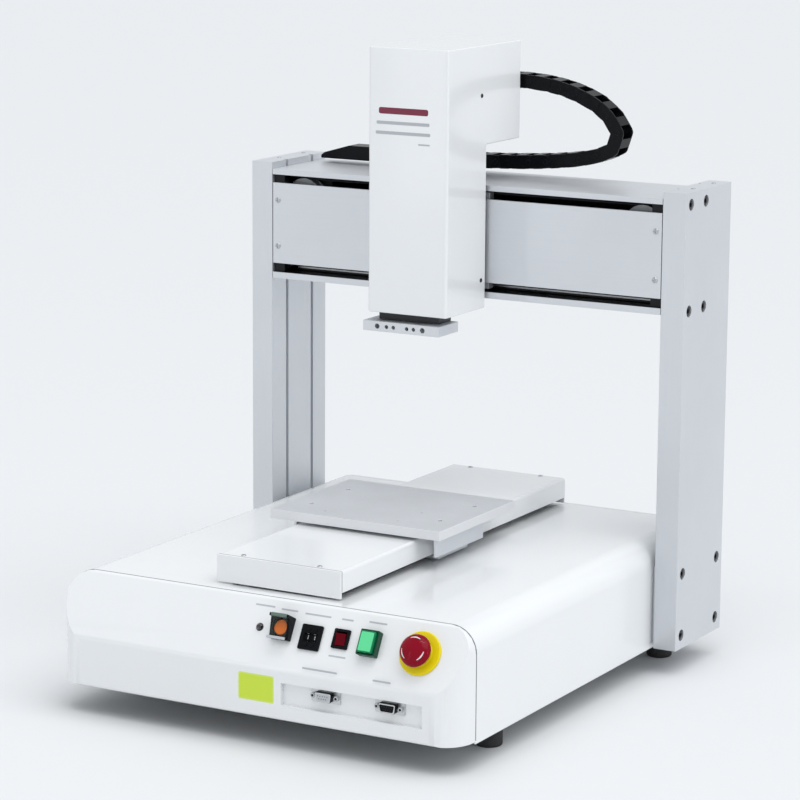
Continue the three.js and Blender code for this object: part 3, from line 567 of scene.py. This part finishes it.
def cross_head(radius, height):
    """Builder: a pan head screw with a cross recess, its seat at z = 0."""
    arm = radius * 0.62
    half = radius * 0.13
    dome = ((radius, 0), (radius, height * 0.35), (radius * 0.88, height * 0.75),
            (radius * 0.66, height))
    cross = ((arm, -half), (arm, half), (half, half), (half, arm), (-half, arm), (-half, half),
             (-arm, half), (-arm, -half), (-half, -half), (-half, -arm), (half, -arm),
             (half, -half))

    def build(work):
        sides = 24
        lathe(dome, sides)(work)
        rim = [v for v in work.verts if abs(v.co.z - height) < 1e-6]
        rim.sort(key=lambda v: math.atan2(v.co.y, v.co.x) % (2 * math.pi))
        upper = [work.verts.new((x, y, height)) for x, y in cross]
        lower = [work.verts.new((x * 0.8, y * 0.8, height * 0.3)) for x, y in cross]
        count = len(cross)
        for step in range(count):
            after = (step + 1) % count
            work.faces.new((upper[step], upper[after], lower[after], lower[step]))
        work.faces.new(lower)
        for step in range(sides):
            after = (step + 1) % sides
            near = round(step * count / sides) % count
            next_near = round((step + 1) * count / sides) % count
            if near == next_near:
                work.faces.new((rim[step], rim[after], upper[near]))
            else:
                work.faces.new((rim[step], rim[after], upper[next_near], upper[near]))
        seat = [v for v in work.verts if abs(v.co.z) < 1e-6]
        seat.sort(key=lambda v: math.atan2(v.co.y, v.co.x))
        work.faces.new(list(reversed(seat)))
    return build


def screws(name, builder, finish, body, places):
    """The same screw at several places, as separate pieces."""
    for number, place in enumerate(places, 1):
        piece(f"{name}_{number}", builder, finish, body, place)


# ---------------------------------------------------------------- structure details

def column_bolts():
    """Black socket screws down in the counterbores of both columns."""
    rows = ((477.7, 155), (477.7, 190.4), (371.7, 155), (371.7, 190.4),
            (104.8, 155), (104.8, 238.3), (41.0, 155), (41.0, 238.3))
    for side, label in ((-1, "left"), (1, "right")):
        places = [facing(side * (COLUMN_FACE - 5.9), y, z, (side, 0, 0)) for z, y in rows]
        screws(f"column_bolt_{label}", socket_head(4.9, 4.6, 2.6), "bolt_black",
               "root", places)


def top_screws():
    """Small screws in the tops of both columns."""
    places = [facing(side * 240, y, COLUMN_TOP - 0.05, (0, 0, 1))
              for side in (-1, 1) for y in (180, 230)]
    screws("column_top_screw", cross_head(2.4, 0.8), "screw_steel", "root", places)


def cover_plate_screws():
    """Pan head screws that hold the beam's cover plate to its end posts."""
    places = [facing(side * 218, BEAM_FRONT + 0.05, z, (0, -1, 0))
              for side in (-1, 1) for z in (402, 450.6)]
    screws("cover_plate_screw", cross_head(3.0, 1.3), "screw_steel", "root", places)


def y_cover_screws():
    """Screws along the front and rear edges of the white table cover."""
    places = [facing(x, y, Y_COVER_TOP - 0.05, (0, 0, 1))
              for x in (-43, 41) for y in (-204.5, 249.5)]
    screws("table_cover_screw", cross_head(2.5, 1.0), "screw_steel", "root", places)


def head_screws():
    """Dark side screws of the head cover."""
    for side, label in ((-1, "left"), (1, "right")):
        x = HEAD_CENTRE + side * HEAD_HALF - side * 0.05
        places = [facing(x, y, z, (side, 0, 0)) for y, z in ((127, 575), (129, 388))]
        screws(f"head_screw_{label}", cross_head(2.2, 1.0), "bolt_black",
               "head", places)


def table_screws():
    """Screws down in the four holes of the table plate and three small set screws."""
    places = [facing(x, y, TABLE_TOP - 3.4, (0, 0, 1))
              for x in (-73, 73) for y in (-29.8, 42.2)]
    screws("table_screw", socket_head(2.45, 1.8, 1.3), "bolt_black",
           "table", places)
    places = [facing(x, y, TABLE_TOP - 0.1, (0, 0, 1))
              for x, y in ((-43.8, -52.7), (38.4, -52.5), (42.4, -11.4))]
    screws("table_set_screw", socket_head(1.3, 0.16, 0.7), "screw_steel", "table",
           places)


def rear_panel_screws():
    """Screws along the rear panel, and two rows of louvres in it."""
    places = [facing(x, REAR_FACE - 0.05, z, (0, 1, 0)) for x in (-208, 208) for z in (36, 124)]
    places += [facing(x, REAR_FACE - 0.05, z, (0, 1, 0)) for x in (-70, 70) for z in (36, 124)]
    screws("rear_panel_screw", cross_head(3.0, 1.3), "screw_steel", "root", places)
    fin = slab(((0, 0), (2.2, 0), (2.2, 0.6), (0, 1.8)), 0, 60)
    lay = Matrix(((0, 0, 1, 0), (0, 1, 0, 0), (-1, 0, 0, 0), (0, 0, 0, 1)))
    for side, start in (("a", 100), ("b", -60)):
        fins = [shifted(fin, Matrix.Translation((start, REAR_FACE - 0.02, 58 + 8 * row)) @ lay)
                for row in range(7)]
        piece(f"rear_louvres_{side}", several(*fins), "white_paint", "root",
              width=0.2)


def foot_screws():
    """Steel screws up through the middle of each rubber foot."""
    spots = ((-193, -150), (193, -150), (-201, 210), (201, 210))
    places = [facing(x, y, 2.2, (0, 0, -1)) for x, y in spots]
    screws("foot_screw", cross_head(4.0, 1.6), "screw_steel", "root", places)


# ---------------------------------------------------------------- cable chain

def curve_point(share):
    """The point at a share of the chain's length, as an X-Z vector."""
    total = CHAIN_LENGTHS[-1]
    target = share * total
    for step in range(len(CHAIN_LENGTHS) - 1):
        if CHAIN_LENGTHS[step + 1] >= target:
            break
    run = CHAIN_LENGTHS[step + 1] - CHAIN_LENGTHS[step]
    part = (target - CHAIN_LENGTHS[step]) / run if run else 0.0
    return CHAIN_POINTS[step].lerp(CHAIN_POINTS[step + 1], part)


def spline_points(control, per_span=16):
    """Centripetal Catmull-Rom points through the control points."""
    known = [Vector(p) for p in control]
    known = [known[0] * 2 - known[1]] + known + [known[-1] * 2 - known[-2]]
    points = []
    for index in range(1, len(known) - 2):
        p0, p1, p2, p3 = known[index - 1:index + 3]
        t1 = max(1e-6, (p1 - p0).length ** 0.5)
        t2 = t1 + (p2 - p1).length ** 0.5
        t3 = t2 + (p3 - p2).length ** 0.5
        for step in range(per_span):
            t = t1 + (t2 - t1) * step / per_span
            a1 = p0 * ((t1 - t) / t1) + p1 * (t / t1)
            a2 = p1 * ((t2 - t) / (t2 - t1)) + p2 * ((t - t1) / (t2 - t1))
            a3 = p2 * ((t3 - t) / (t3 - t2)) + p3 * ((t - t2) / (t3 - t2))
            b1 = a1 * ((t2 - t) / t2) + a2 * (t / t2)
            b2 = a2 * ((t3 - t) / (t3 - t1)) + a3 * ((t - t1) / (t3 - t1))
            points.append(b1 * ((t2 - t) / (t2 - t1)) + b2 * ((t - t1) / (t2 - t1)))
    points.append(known[-2])
    return points


CHAIN_POINTS = spline_points(CHAIN_LINE)
CHAIN_LENGTHS = [0.0]
for near, far in zip(CHAIN_POINTS, CHAIN_POINTS[1:]):
    CHAIN_LENGTHS.append(CHAIN_LENGTHS[-1] + (far - near).length)


def chain_link(inset):
    """Builder: one link, x along the chain, y across it, z through its thickness.

    inset draws its sides in, so that the plates of neighbours do not share a face.
    """
    half = CHAIN_THICK / 2
    width = (CHAIN_Y[1] - CHAIN_Y[0]) / 2 - inset
    parts = []
    for y in (-width, width - 2.0):
        plate = slab(rounded(CHAIN_PITCH / 2 + 5.2, half - inset * 0.3, half - 0.6, 8), 0, 2.0)
        turn = Matrix.Translation((0, y + 2.0, 0)) @ Matrix.Rotation(math.pi / 2, 4, "X")
        parts.append(shifted(plate, turn))
    reach = CHAIN_PITCH * 0.26
    for z in (-half - 0.25, half - 2.0):
        parts.append(block((-reach, 0.6 - width, z), (reach, width - 0.6, z + 2.25)))
    for y, way in ((-width, 1), (width, -1)):
        outward = Matrix.Rotation(way * math.pi / 2, 4, "X")
        turn = Matrix.Translation((CHAIN_PITCH / 2, y, 0)) @ outward
        boss = lathe(((2.6, 0), (2.6, 0.25), (2.2, 0.5), (0, 0.5)), 20)
        parts.append(shifted(boss, turn))
    return several(*parts)


def chain_follow(link, share):
    """Ties a link to its body, or bakes its placing into its mesh and leaves it on no body."""
    if share < CHAIN_FREE:
        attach(link, "root")
    elif CHAIN_SPLITS[0] < share < CHAIN_SPLITS[1]:
        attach(link, "chain_bend")
    elif share > CHAIN_HELD:
        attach(link, "head")
    else:
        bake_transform(link)


def cable_chain():
    """Links between pivots on the chain's centreline, and the wedge that fixes its lower end."""
    count = round(CHAIN_LENGTHS[-1] / CHAIN_PITCH)
    middle_y = sum(CHAIN_Y) / 2
    first = None
    for number in range(count):
        start = curve_point(number / count)
        end = curve_point((number + 1) / count)
        if start.x < CHAIN_WEDGE_END:
            continue
        along = (end - start).normalized()
        ahead = Vector((along.x, 0, along.y))
        across = Vector((0, 1, 0))
        turn = Matrix((ahead, across, ahead.cross(across))).transposed().to_4x4()
        centre = (start + end) / 2
        place = Matrix.Translation((centre.x, middle_y, centre.y)) @ turn
        link = piece(f"chain_link_{number + 1:02d}", chain_link(0.35 * (number % 3)),
                     "chain_plastic", None, place, 0.3)
        chain_follow(link, (number + 0.5) / count)
        first = first or link
    outline = ((-210, -488.2), (-138, -488.2), (-138, -503.2), (-176, -503.2), (-206, -494.5),
               (-210, -491.5))
    wedge = shifted(slab([(x, -z) for x, z in outline], CHAIN_Y[0] + 0.4, CHAIN_Y[1] - 0.4),
                    Matrix(((1, 0, 0, 0), (0, 0, 1, 0), (0, 1, 0, 0), (0, 0, 0, 1))))
    piece("chain_end_wedge", wedge, "chain_plastic", "root", width=0.8)
    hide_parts("chain_lower", "chain_bend", "chain_upper")


# ---------------------------------------------------------------- painted seam shade

def arch(half, top, radius, bottom, steps=10):
    """X-Z points up the left side, over the round top corners and down the right side."""
    points = [(-half, bottom)]
    for side, start in ((-1, 180), (1, 90)):
        for step in range(steps + 1):
            turn = math.radians(start - 90 * step / steps)
            points.append((side * (half - radius) + radius * math.cos(turn),
                           top - radius + radius * math.sin(turn)))
    points.append((half, bottom))
    return points


def strip(outer, inner, front, back):
    """Builder: the band between two open paths of X-Z points, from y = front to y = back."""
    def build(work):
        rails = []
        for path, y in ((outer, front), (outer, back), (inner, back), (inner, front)):
            rails.append([work.verts.new((x, y, z)) for x, z in path])
        for near, far in zip(rails, rails[1:] + rails[:1]):
            for step in range(len(outer) - 1):
                work.faces.new((near[step], near[step + 1], far[step + 1], far[step]))
        for end in (0, -1):
            work.faces.new([rail[end] for rail in rails])
    return build


def seam_shades():
    """Dark grey strips over the joints between the front panel and the base, and round the table
    cover's end: painted shade of the gaps, laid as seal strips.
    """
    proud = 0.1
    outer = arch(BASE_SIDE + proud, BASE_TOP + proud, BASE_RADIUS + proud, 29)
    inner = arch(BASE_SIDE - 2.4, BASE_TOP - 2.4, BASE_RADIUS - 2.4, 29)
    piece("front_seam_shade", strip(outer, inner, -229.7, -228.4), "seam", "root",
          smooth=False)
    outer = arch(Y_COVER_HALF + 0.05, Y_COVER_TOP + 0.05, 1.0, 143, 3)
    inner = arch(Y_COVER_HALF - 1.6, Y_COVER_TOP - 1.6, 0.5, 143, 3)
    piece("table_cover_seam_shade", strip(outer, inner, -209.7, -209.0), "seam",
          "root", smooth=False)


# ---------------------------------------------------------------- control panel details

def caption(name, place, lines, finish="print_grey", body="root"):
    """Plain printed bars in place of a caption: lines are (x, y, half width, half height)."""
    bars = [shifted(slab(rounded(w, h, h * 0.6, 3), 0.0, 0.06), Matrix.Translation((x, y, 0.0)))
            for x, y, w, h in lines]
    piece(name, several(*bars), finish, body, place, smooth=False)


def captions():
    """Grey bars above and below the controls and above the connectors."""
    caption("caption_power", on_panel(1.2, 8.4, 0.02), ((0, 0, 10.5, 0.8),))
    caption("caption_purge", on_panel(28, 9.3, 0.02), ((0, 0, 9.0, 0.8),))
    caption("caption_program", on_panel(59, 10.0, 0.02), ((0, 0, 14.0, 0.8),))
    caption("caption_run", on_panel(90.6, 10.0, 0.02), ((0, 0, 6.2, 0.8),))
    caption("caption_start", on_panel(122.6, 8.6, 0.02), ((0, 0, 9.4, 0.8),))
    caption("caption_teach", on_panel(89, 45.6, 0.02), ((0, 0, 9.0, 0.8),))
    upright = on_front(FRONT_FACE - 0.02)
    caption("caption_pendant", upright, ((76.3, 82.4, 18.5, 0.9),))
    caption("caption_serial", upright, ((142.0, 81.5, 9.4, 0.9),))


def head_print():
    """Plain bars on the head: one dark red stripe over two pale grey lines and a short one."""
    upright = on_front(HEAD_FRONT - 0.02)
    caption("head_stripe", upright, ((-19.5, 562.5, 28.0, 3.2),), "print_dark", "head")
    caption("head_lines", upright, ((-20.0, 550.5, 30.0, 1.6), (-20.0, 540.5, 31.0, 1.6),
                                    (4.0, 530.5, 6.5, 0.8)), "print_grey", "head")


def front_label():
    """A plain yellow-green plate on the front face, with a paler rim and no marks."""
    upright = on_front(FRONT_FACE - 0.02)
    middle = Matrix.Translation((7.5, 56.2, 0))
    piece("label_rim", shifted(slab(rounded(19.3, 13.0, 1.6), 0, 0.10), middle), "label_edge",
          "root", upright, smooth=False)
    piece("label_face", shifted(slab(rounded(18.1, 11.8, 1.2), 0.10, 0.18), middle), "label",
          "root", upright, smooth=False)


def digit(strokes, size):
    """Builder: a seven-segment digit of that height in the local X-Y plane."""
    half = size / 2
    wide = size * 0.28
    thick = size * 0.07
    spans = {
        "a": (-wide, wide, half, half), "g": (-wide, wide, 0, 0), "d": (-wide, wide, -half, -half),
        "f": (-wide, -wide, 0, half), "b": (wide, wide, 0, half),
        "e": (-wide, -wide, -half, 0), "c": (wide, wide, -half, 0),
    }
    parts = []
    for stroke in strokes:
        x0, x1, y0, y1 = spans[stroke]
        parts.append(block((x0 - thick, y0 - thick, 0), (x1 + thick, y1 + thick, 0.06)))
    return several(*parts)


DIGITS = ("abcdef", "bc", "abged", "abgcd", "fgbc", "afgcd", "afgedc", "abc", "abcdefg", "abcdfg")


def wheel_digits():
    """The numbers 0 to 9 on the flats of both programme wheels."""
    for x, label in PROGRAM_WHEELS:
        parts = []
        for value, strokes in enumerate(DIGITS):
            turn = Matrix.Rotation(math.radians(-36 * (value - 1)), 4, "X")
            out = Matrix.Translation((0, 0, 8.5 * math.cos(math.pi / 10) + 0.01))
            parts.append(shifted(digit(strokes, 3.2), turn @ out))
        place = on_panel(x, PROGRAM_DOWN, -6.8)
        piece(f"digits_{label}", several(*parts), "print_white",
              f"prog_wheel_{label}", place, smooth=False)


def program_switch_marks():
    """Dark rims round the two windows and the push tabs of the programme switch."""
    for x, label in PROGRAM_WHEELS:
        rim = []
        for y0, y1 in ((-4.2, -3.5), (3.5, 4.2)):
            rim.append(block((-2.9, y0, 2.45), (2.9, y1, 2.75)))
        for x0, x1 in ((-2.9, -2.5), (2.5, 2.9)):
            rim.append(block((x0, -4.2, 2.45), (x1, 4.2, 2.75)))
        piece(f"wheel_rim_{label}", several(*rim), "black_plastic", "root",
              on_panel(x, PROGRAM_DOWN), 0.1)
        for way, word in ((1, "up"), (-1, "down")):
            tab = slab(rounded(2.2, 1.3, 0.5), 2.45, 3.3)
            piece(f"wheel_tab_{label}_{word}",
                  shifted(tab, Matrix.Translation((0, way * 7.2, 0))), "black_plastic",
                  "root", on_panel(x, PROGRAM_DOWN), 0.2)


def start_face():
    """The paler printed face on the start button."""
    piece("start_face", slab(rounded(6.6, 9.0, 1.0), 11.15, 11.32), "mint",
          "start_button", on_panel(*START), smooth=False)


def twist_highlight_arc(turn):
    """Builder: one raised white arc, a painted highlight on the dome of the stop button, shaped as a
    twist mark and centred on the angle turn.
    """
    def build(work):
        rows = []
        for step in range(9):
            along = (step - 4) / 4
            angle = math.radians(turn + 26 * along)
            half = 0.62 - 0.34 * abs(along)
            row = []
            for radius, lift in ((-half, -0.3), (half, -0.3), (half, 0.14), (-half, 0.14)):
                out = TWIST_HIGHLIGHT_RADIUS + radius
                row.append(work.verts.new((
                    out * math.cos(angle), out * math.sin(angle),
                    DOME_HEIGHT - DOME_FALL * radius + lift,
                )))
            rows.append(row)
        for first, second in zip(rows, rows[1:]):
            for corner in range(4):
                after = (corner + 1) % 4
                work.faces.new((first[corner], first[after], second[after], second[corner]))
        work.faces.new(rows[0])
        work.faces.new(rows[-1])
    return build


def stop_highlight_arcs():
    """Three raised white arcs on the dome of the stop button: painted highlight streaks, shaped as
    twist marks.
    """
    arcs = several(*(twist_highlight_arc(turn) for turn in (90, 210, 330)))
    piece("estop_twist_highlights", arcs, "print_white", "estop_head",
          on_panel(*STOP), smooth=False)


def rail_track_highlight():
    """A thin bright steel strip along the front of the X rail, laid as its ground track: a painted
    highlight on the rail's front edge.
    """
    track = block((-207, 164.9, 377.0), (207, 165.2, 378.5))
    piece("x_rail_track_highlight", track, "zinc", "root", smooth=False)


def guard_trim():
    """The finger lip along the guard's lower edge and the tinted bar at its hinge."""
    lip = block((-9.6, -1.7, -1.6), (9.6, 0.9, 0.5))
    piece("guard_lip", lip, "print_grey", "purge_guard",
          on_panel(PURGE[0], PURGE[1] + 10.9, 11.9), 0.4)
    bar = lathe(((0, -8.4), (1.7, -8.4), (1.9, -8.0), (1.9, 8.0), (1.7, 8.4), (0, 8.4)), 20)
    across = Matrix.Rotation(math.pi / 2, 4, "Y")
    piece("guard_bar", shifted(bar, across), "guard_tint", "purge_guard",
          on_panel(PURGE[0], PURGE[1] - 9.6, 14.4))


def lamp_rim():
    """The dark rim round the power lamp."""
    rim = lathe(((3.15, 0.02), (3.9, 0.02), (3.8, 0.55), (3.25, 0.8), (3.15, 0.6)), 32)
    piece("lamp_rim", rim, "bolt_black", "root", on_panel(*LAMP))


def d_outline(grow):
    """Outline of a D connector's shell, grown by that much on every side."""
    low, high, half = 7.6 + grow, 8.8 + grow, 4.2 + grow
    return ((-low + 0.8, -half), (low - 0.8, -half), (low, -half + 0.8), (high, half - 0.8),
            (high - 0.8, half), (0.8 - high, half), (-high, half - 0.8), (-low, -half + 0.8))


def connector_detail(name, x, insulator):
    """A black sleeve that paints the shade in the gap round the shell, the insulator with its
    contacts, and the two jack screws of one D connector, each with a black disc that paints the
    shade in its bore.
    """
    upright = on_front(-267.0, x, CONNECTOR_Z)
    # A black sleeve through the cut-out: painted shade of the gap round the connector's shell.
    piece(f"{name}_gap_shade", slab(d_outline(0.2), -6.1, -0.5), "black_plastic",
          "root", upright, 0.1)
    piece(f"{name}_insulator", slab(d_outline(-1.0), -0.3, 0.12), insulator,
          "root", upright, smooth=False)
    contacts = []
    for row, count in ((1.3, 5), (-1.3, 4)):
        for step in range(count):
            spot = Matrix.Translation(((step - (count - 1) / 2) * 2.5, row, 0.1))
            contacts.append(shifted(lathe(((0.5, 0), (0.45, 0.12), (0, 0.12)), 12), spot))
    piece(f"{name}_contacts", several(*contacts), "bolt_black", "root", upright,
          smooth=False)
    nut = lathe(((2.6, 0), (2.6, 3.2), (2.3, 3.5), (1.4, 3.5), (1.4, 1.2), (0, 1.2)), 6)
    for side, label in ((-1, "left"), (1, "right")):
        place = on_front(-260.8, x + side * 12.4, CONNECTOR_Z)
        piece(f"{name}_jackscrew_{label}", nut, "screw_steel", "root", place)
        # A black disc on the floor of each jack screw's bore: painted shade in the hole.
        bore_shade_place = Matrix.Translation(place.translation - Vector((0, 1.25, 0))) @ place.to_3x3().to_4x4()
        piece(f"{name}_jackscrew_bore_shade_{label}", lathe(((1.35, 0), (1.35, 0.2), (0, 0.2)), 12),
              "bolt_black", "root", bore_shade_place, smooth=False)


def inlet_detail():
    """Three blades in the mains inlet and its two screws."""
    blade = block((-2, 0, -1), (2, 13, 1))
    upright = Matrix.Rotation(math.pi / 2, 4, "Y")
    blades = [shifted(blade, Matrix.Translation((x, 249.0, z)) @ upright)
              for x, z in ((-149, 74.5), (-137, 74.5), (-143, 79))]
    piece("inlet_blades", several(*blades), "contact", "root", width=0.2)
    places = [facing(x, 264.55, 76, (0, 1, 0)) for x in (-157.3, -92.7)]
    screws("inlet_screw", cross_head(1.7, 0.7), "screw_steel", "root", places)


# ---------------------------------------------------------------- inner details

def board_parts():
    """Chips, capacitors and plugs on the controller board."""
    base = 39.6
    chips = [block((100, -110, base - 0.05), (128, -82, base + 2.6)),
             block((145, -60, base - 0.05), (170, -42, base + 2.2)),
             block((150, -20, base - 0.05), (190, 8, base + 1.8)),
             block((95, -40, base - 0.05), (118, -18, base + 2.2))]
    piece("board_chips", several(*chips), "black_plastic", "root", width=0.2)
    cans = [shifted(lathe(((5, 0), (5, 13), (4.4, 14), (0, 13.6)), 24),
                    Matrix.Translation((190, y, base - 0.05))) for y in (-100, -85, -70)]
    piece("board_capacitors", several(*cans), "supply_case", "root")
    plugs = [block((85 + 16 * k, 44, base - 0.05), (97 + 16 * k, 56, base + 9)) for k in range(6)]
    piece("board_plugs", several(*plugs), "print_white", "root", width=0.4)


def supply_holes():
    """Rows of raised vent collars on the power supply's lid."""
    vents = []
    for row in range(5):
        for column in range(9):
            spot = Matrix.Translation((-192 + 12.8 * column, -20 + 24 * row, 84.95))
            vents.append(shifted(lathe(((3.2, 0), (3.0, 0.5), (2.1, 0.5), (2.0, 0)), 16), spot))
    piece("supply_vents", several(*vents), "supply_case", "root", smooth=False)


# ---------------------------------------------------------------- stage

def studio_floor():
    """A wide, plain, pale floor."""
    mesh = bpy.data.meshes.new("studio_floor")
    mesh.from_pydata([(-60, -20, 0), (60, -20, 0), (60, 90, 0), (-60, 90, 0)], [], [(0, 1, 2, 3)])
    floor = bpy.data.objects.new("studio_floor", mesh)
    bpy.context.scene.collection.objects.link(floor)
    material, _, _, bsdf = shader("studio_paper")
    bsdf.inputs["Base Color"].default_value = (*FLOOR, 1)
    bsdf.inputs["Roughness"].default_value = 0.8
    bsdf.inputs["Specular IOR Level"].default_value = 0.1
    mesh.materials.append(material)


def sun(name, towards, strength, angle):
    """A soft distant light that comes from the direction towards."""
    data = bpy.data.lights.new(name, "SUN")
    data.energy = strength
    data.angle = math.radians(angle)
    light = bpy.data.objects.new(name, data)
    light.matrix_world = Vector(towards).to_track_quat("Z", "Y").to_matrix().to_4x4()
    bpy.context.scene.collection.objects.link(light)


def strip_light(name, place, target, size, power):
    """A narrow soft box, seen as a streak on glossy parts."""
    data = bpy.data.lights.new(name, "AREA")
    data.shape = "RECTANGLE"
    data.size, data.size_y = size
    data.energy = power
    light = bpy.data.objects.new(name, data)
    aim = (Vector(target) - Vector(place)).to_track_quat("-Z", "Y")
    light.matrix_world = Matrix.Translation(place) @ aim.to_matrix().to_4x4()
    bpy.context.scene.collection.objects.link(light)


def lights():
    """A pale even surround, a soft sun from above and the right, and three weak strips."""
    world = bpy.data.worlds.new("studio")
    world.use_nodes = True
    background = world.node_tree.nodes["Background"]
    background.inputs["Color"].default_value = (0.94, 0.97, 1.0, 1)
    background.inputs["Strength"].default_value = SURROUND
    bpy.context.scene.world = world
    sun("top", (0.38, -0.08, 0.92), KEY, 60)
    strip_light("left_strip", (-1.6, -2.9, 0.75), (0, 0, 0.25), (0.22, 1.5), 2)
    strip_light("right_strip", (3.0, -0.3, 0.7), (0, 0, 0.25), (0.22, 1.5), 5)
    strip_light("top_strip", (0.5, -1.0, 3.0), (0, 0, 0.25), (1.4, 0.22), 6)


def camera():
    """The camera, with its slight roll."""
    data = bpy.data.cameras.new("camera")
    data.lens = CAMERA_LENS
    data.sensor_width = 36
    data.clip_end = 40
    view = bpy.data.objects.new("camera", data)
    aim = (Vector(CAMERA_TARGET) - Vector(CAMERA_PLACE)).to_track_quat("-Z", "Y")
    roll = Matrix.Rotation(math.radians(CAMERA_ROLL), 4, "Z")
    view.matrix_world = Matrix.Translation(CAMERA_PLACE) @ aim.to_matrix().to_4x4() @ roll
    bpy.context.scene.collection.objects.link(view)
    bpy.context.scene.camera = view


finish_nodes()
column_bolts()
top_screws()
cover_plate_screws()
y_cover_screws()
head_screws()
table_screws()
rear_panel_screws()
foot_screws()
cable_chain()
seam_shades()
captions()
head_print()
front_label()
wheel_digits()
program_switch_marks()
start_face()
guard_trim()
stop_highlight_arcs()
rail_track_highlight()
lamp_rim()
connector_detail("teach_connector", CONNECTOR_XS[0], "print_grey")
connector_detail("serial_connector", CONNECTOR_XS[1], "black_plastic")
inlet_detail()
board_parts()
supply_holes()
studio_floor()
lights()
camera()
bpy.context.scene.view_settings.view_transform = "Standard"
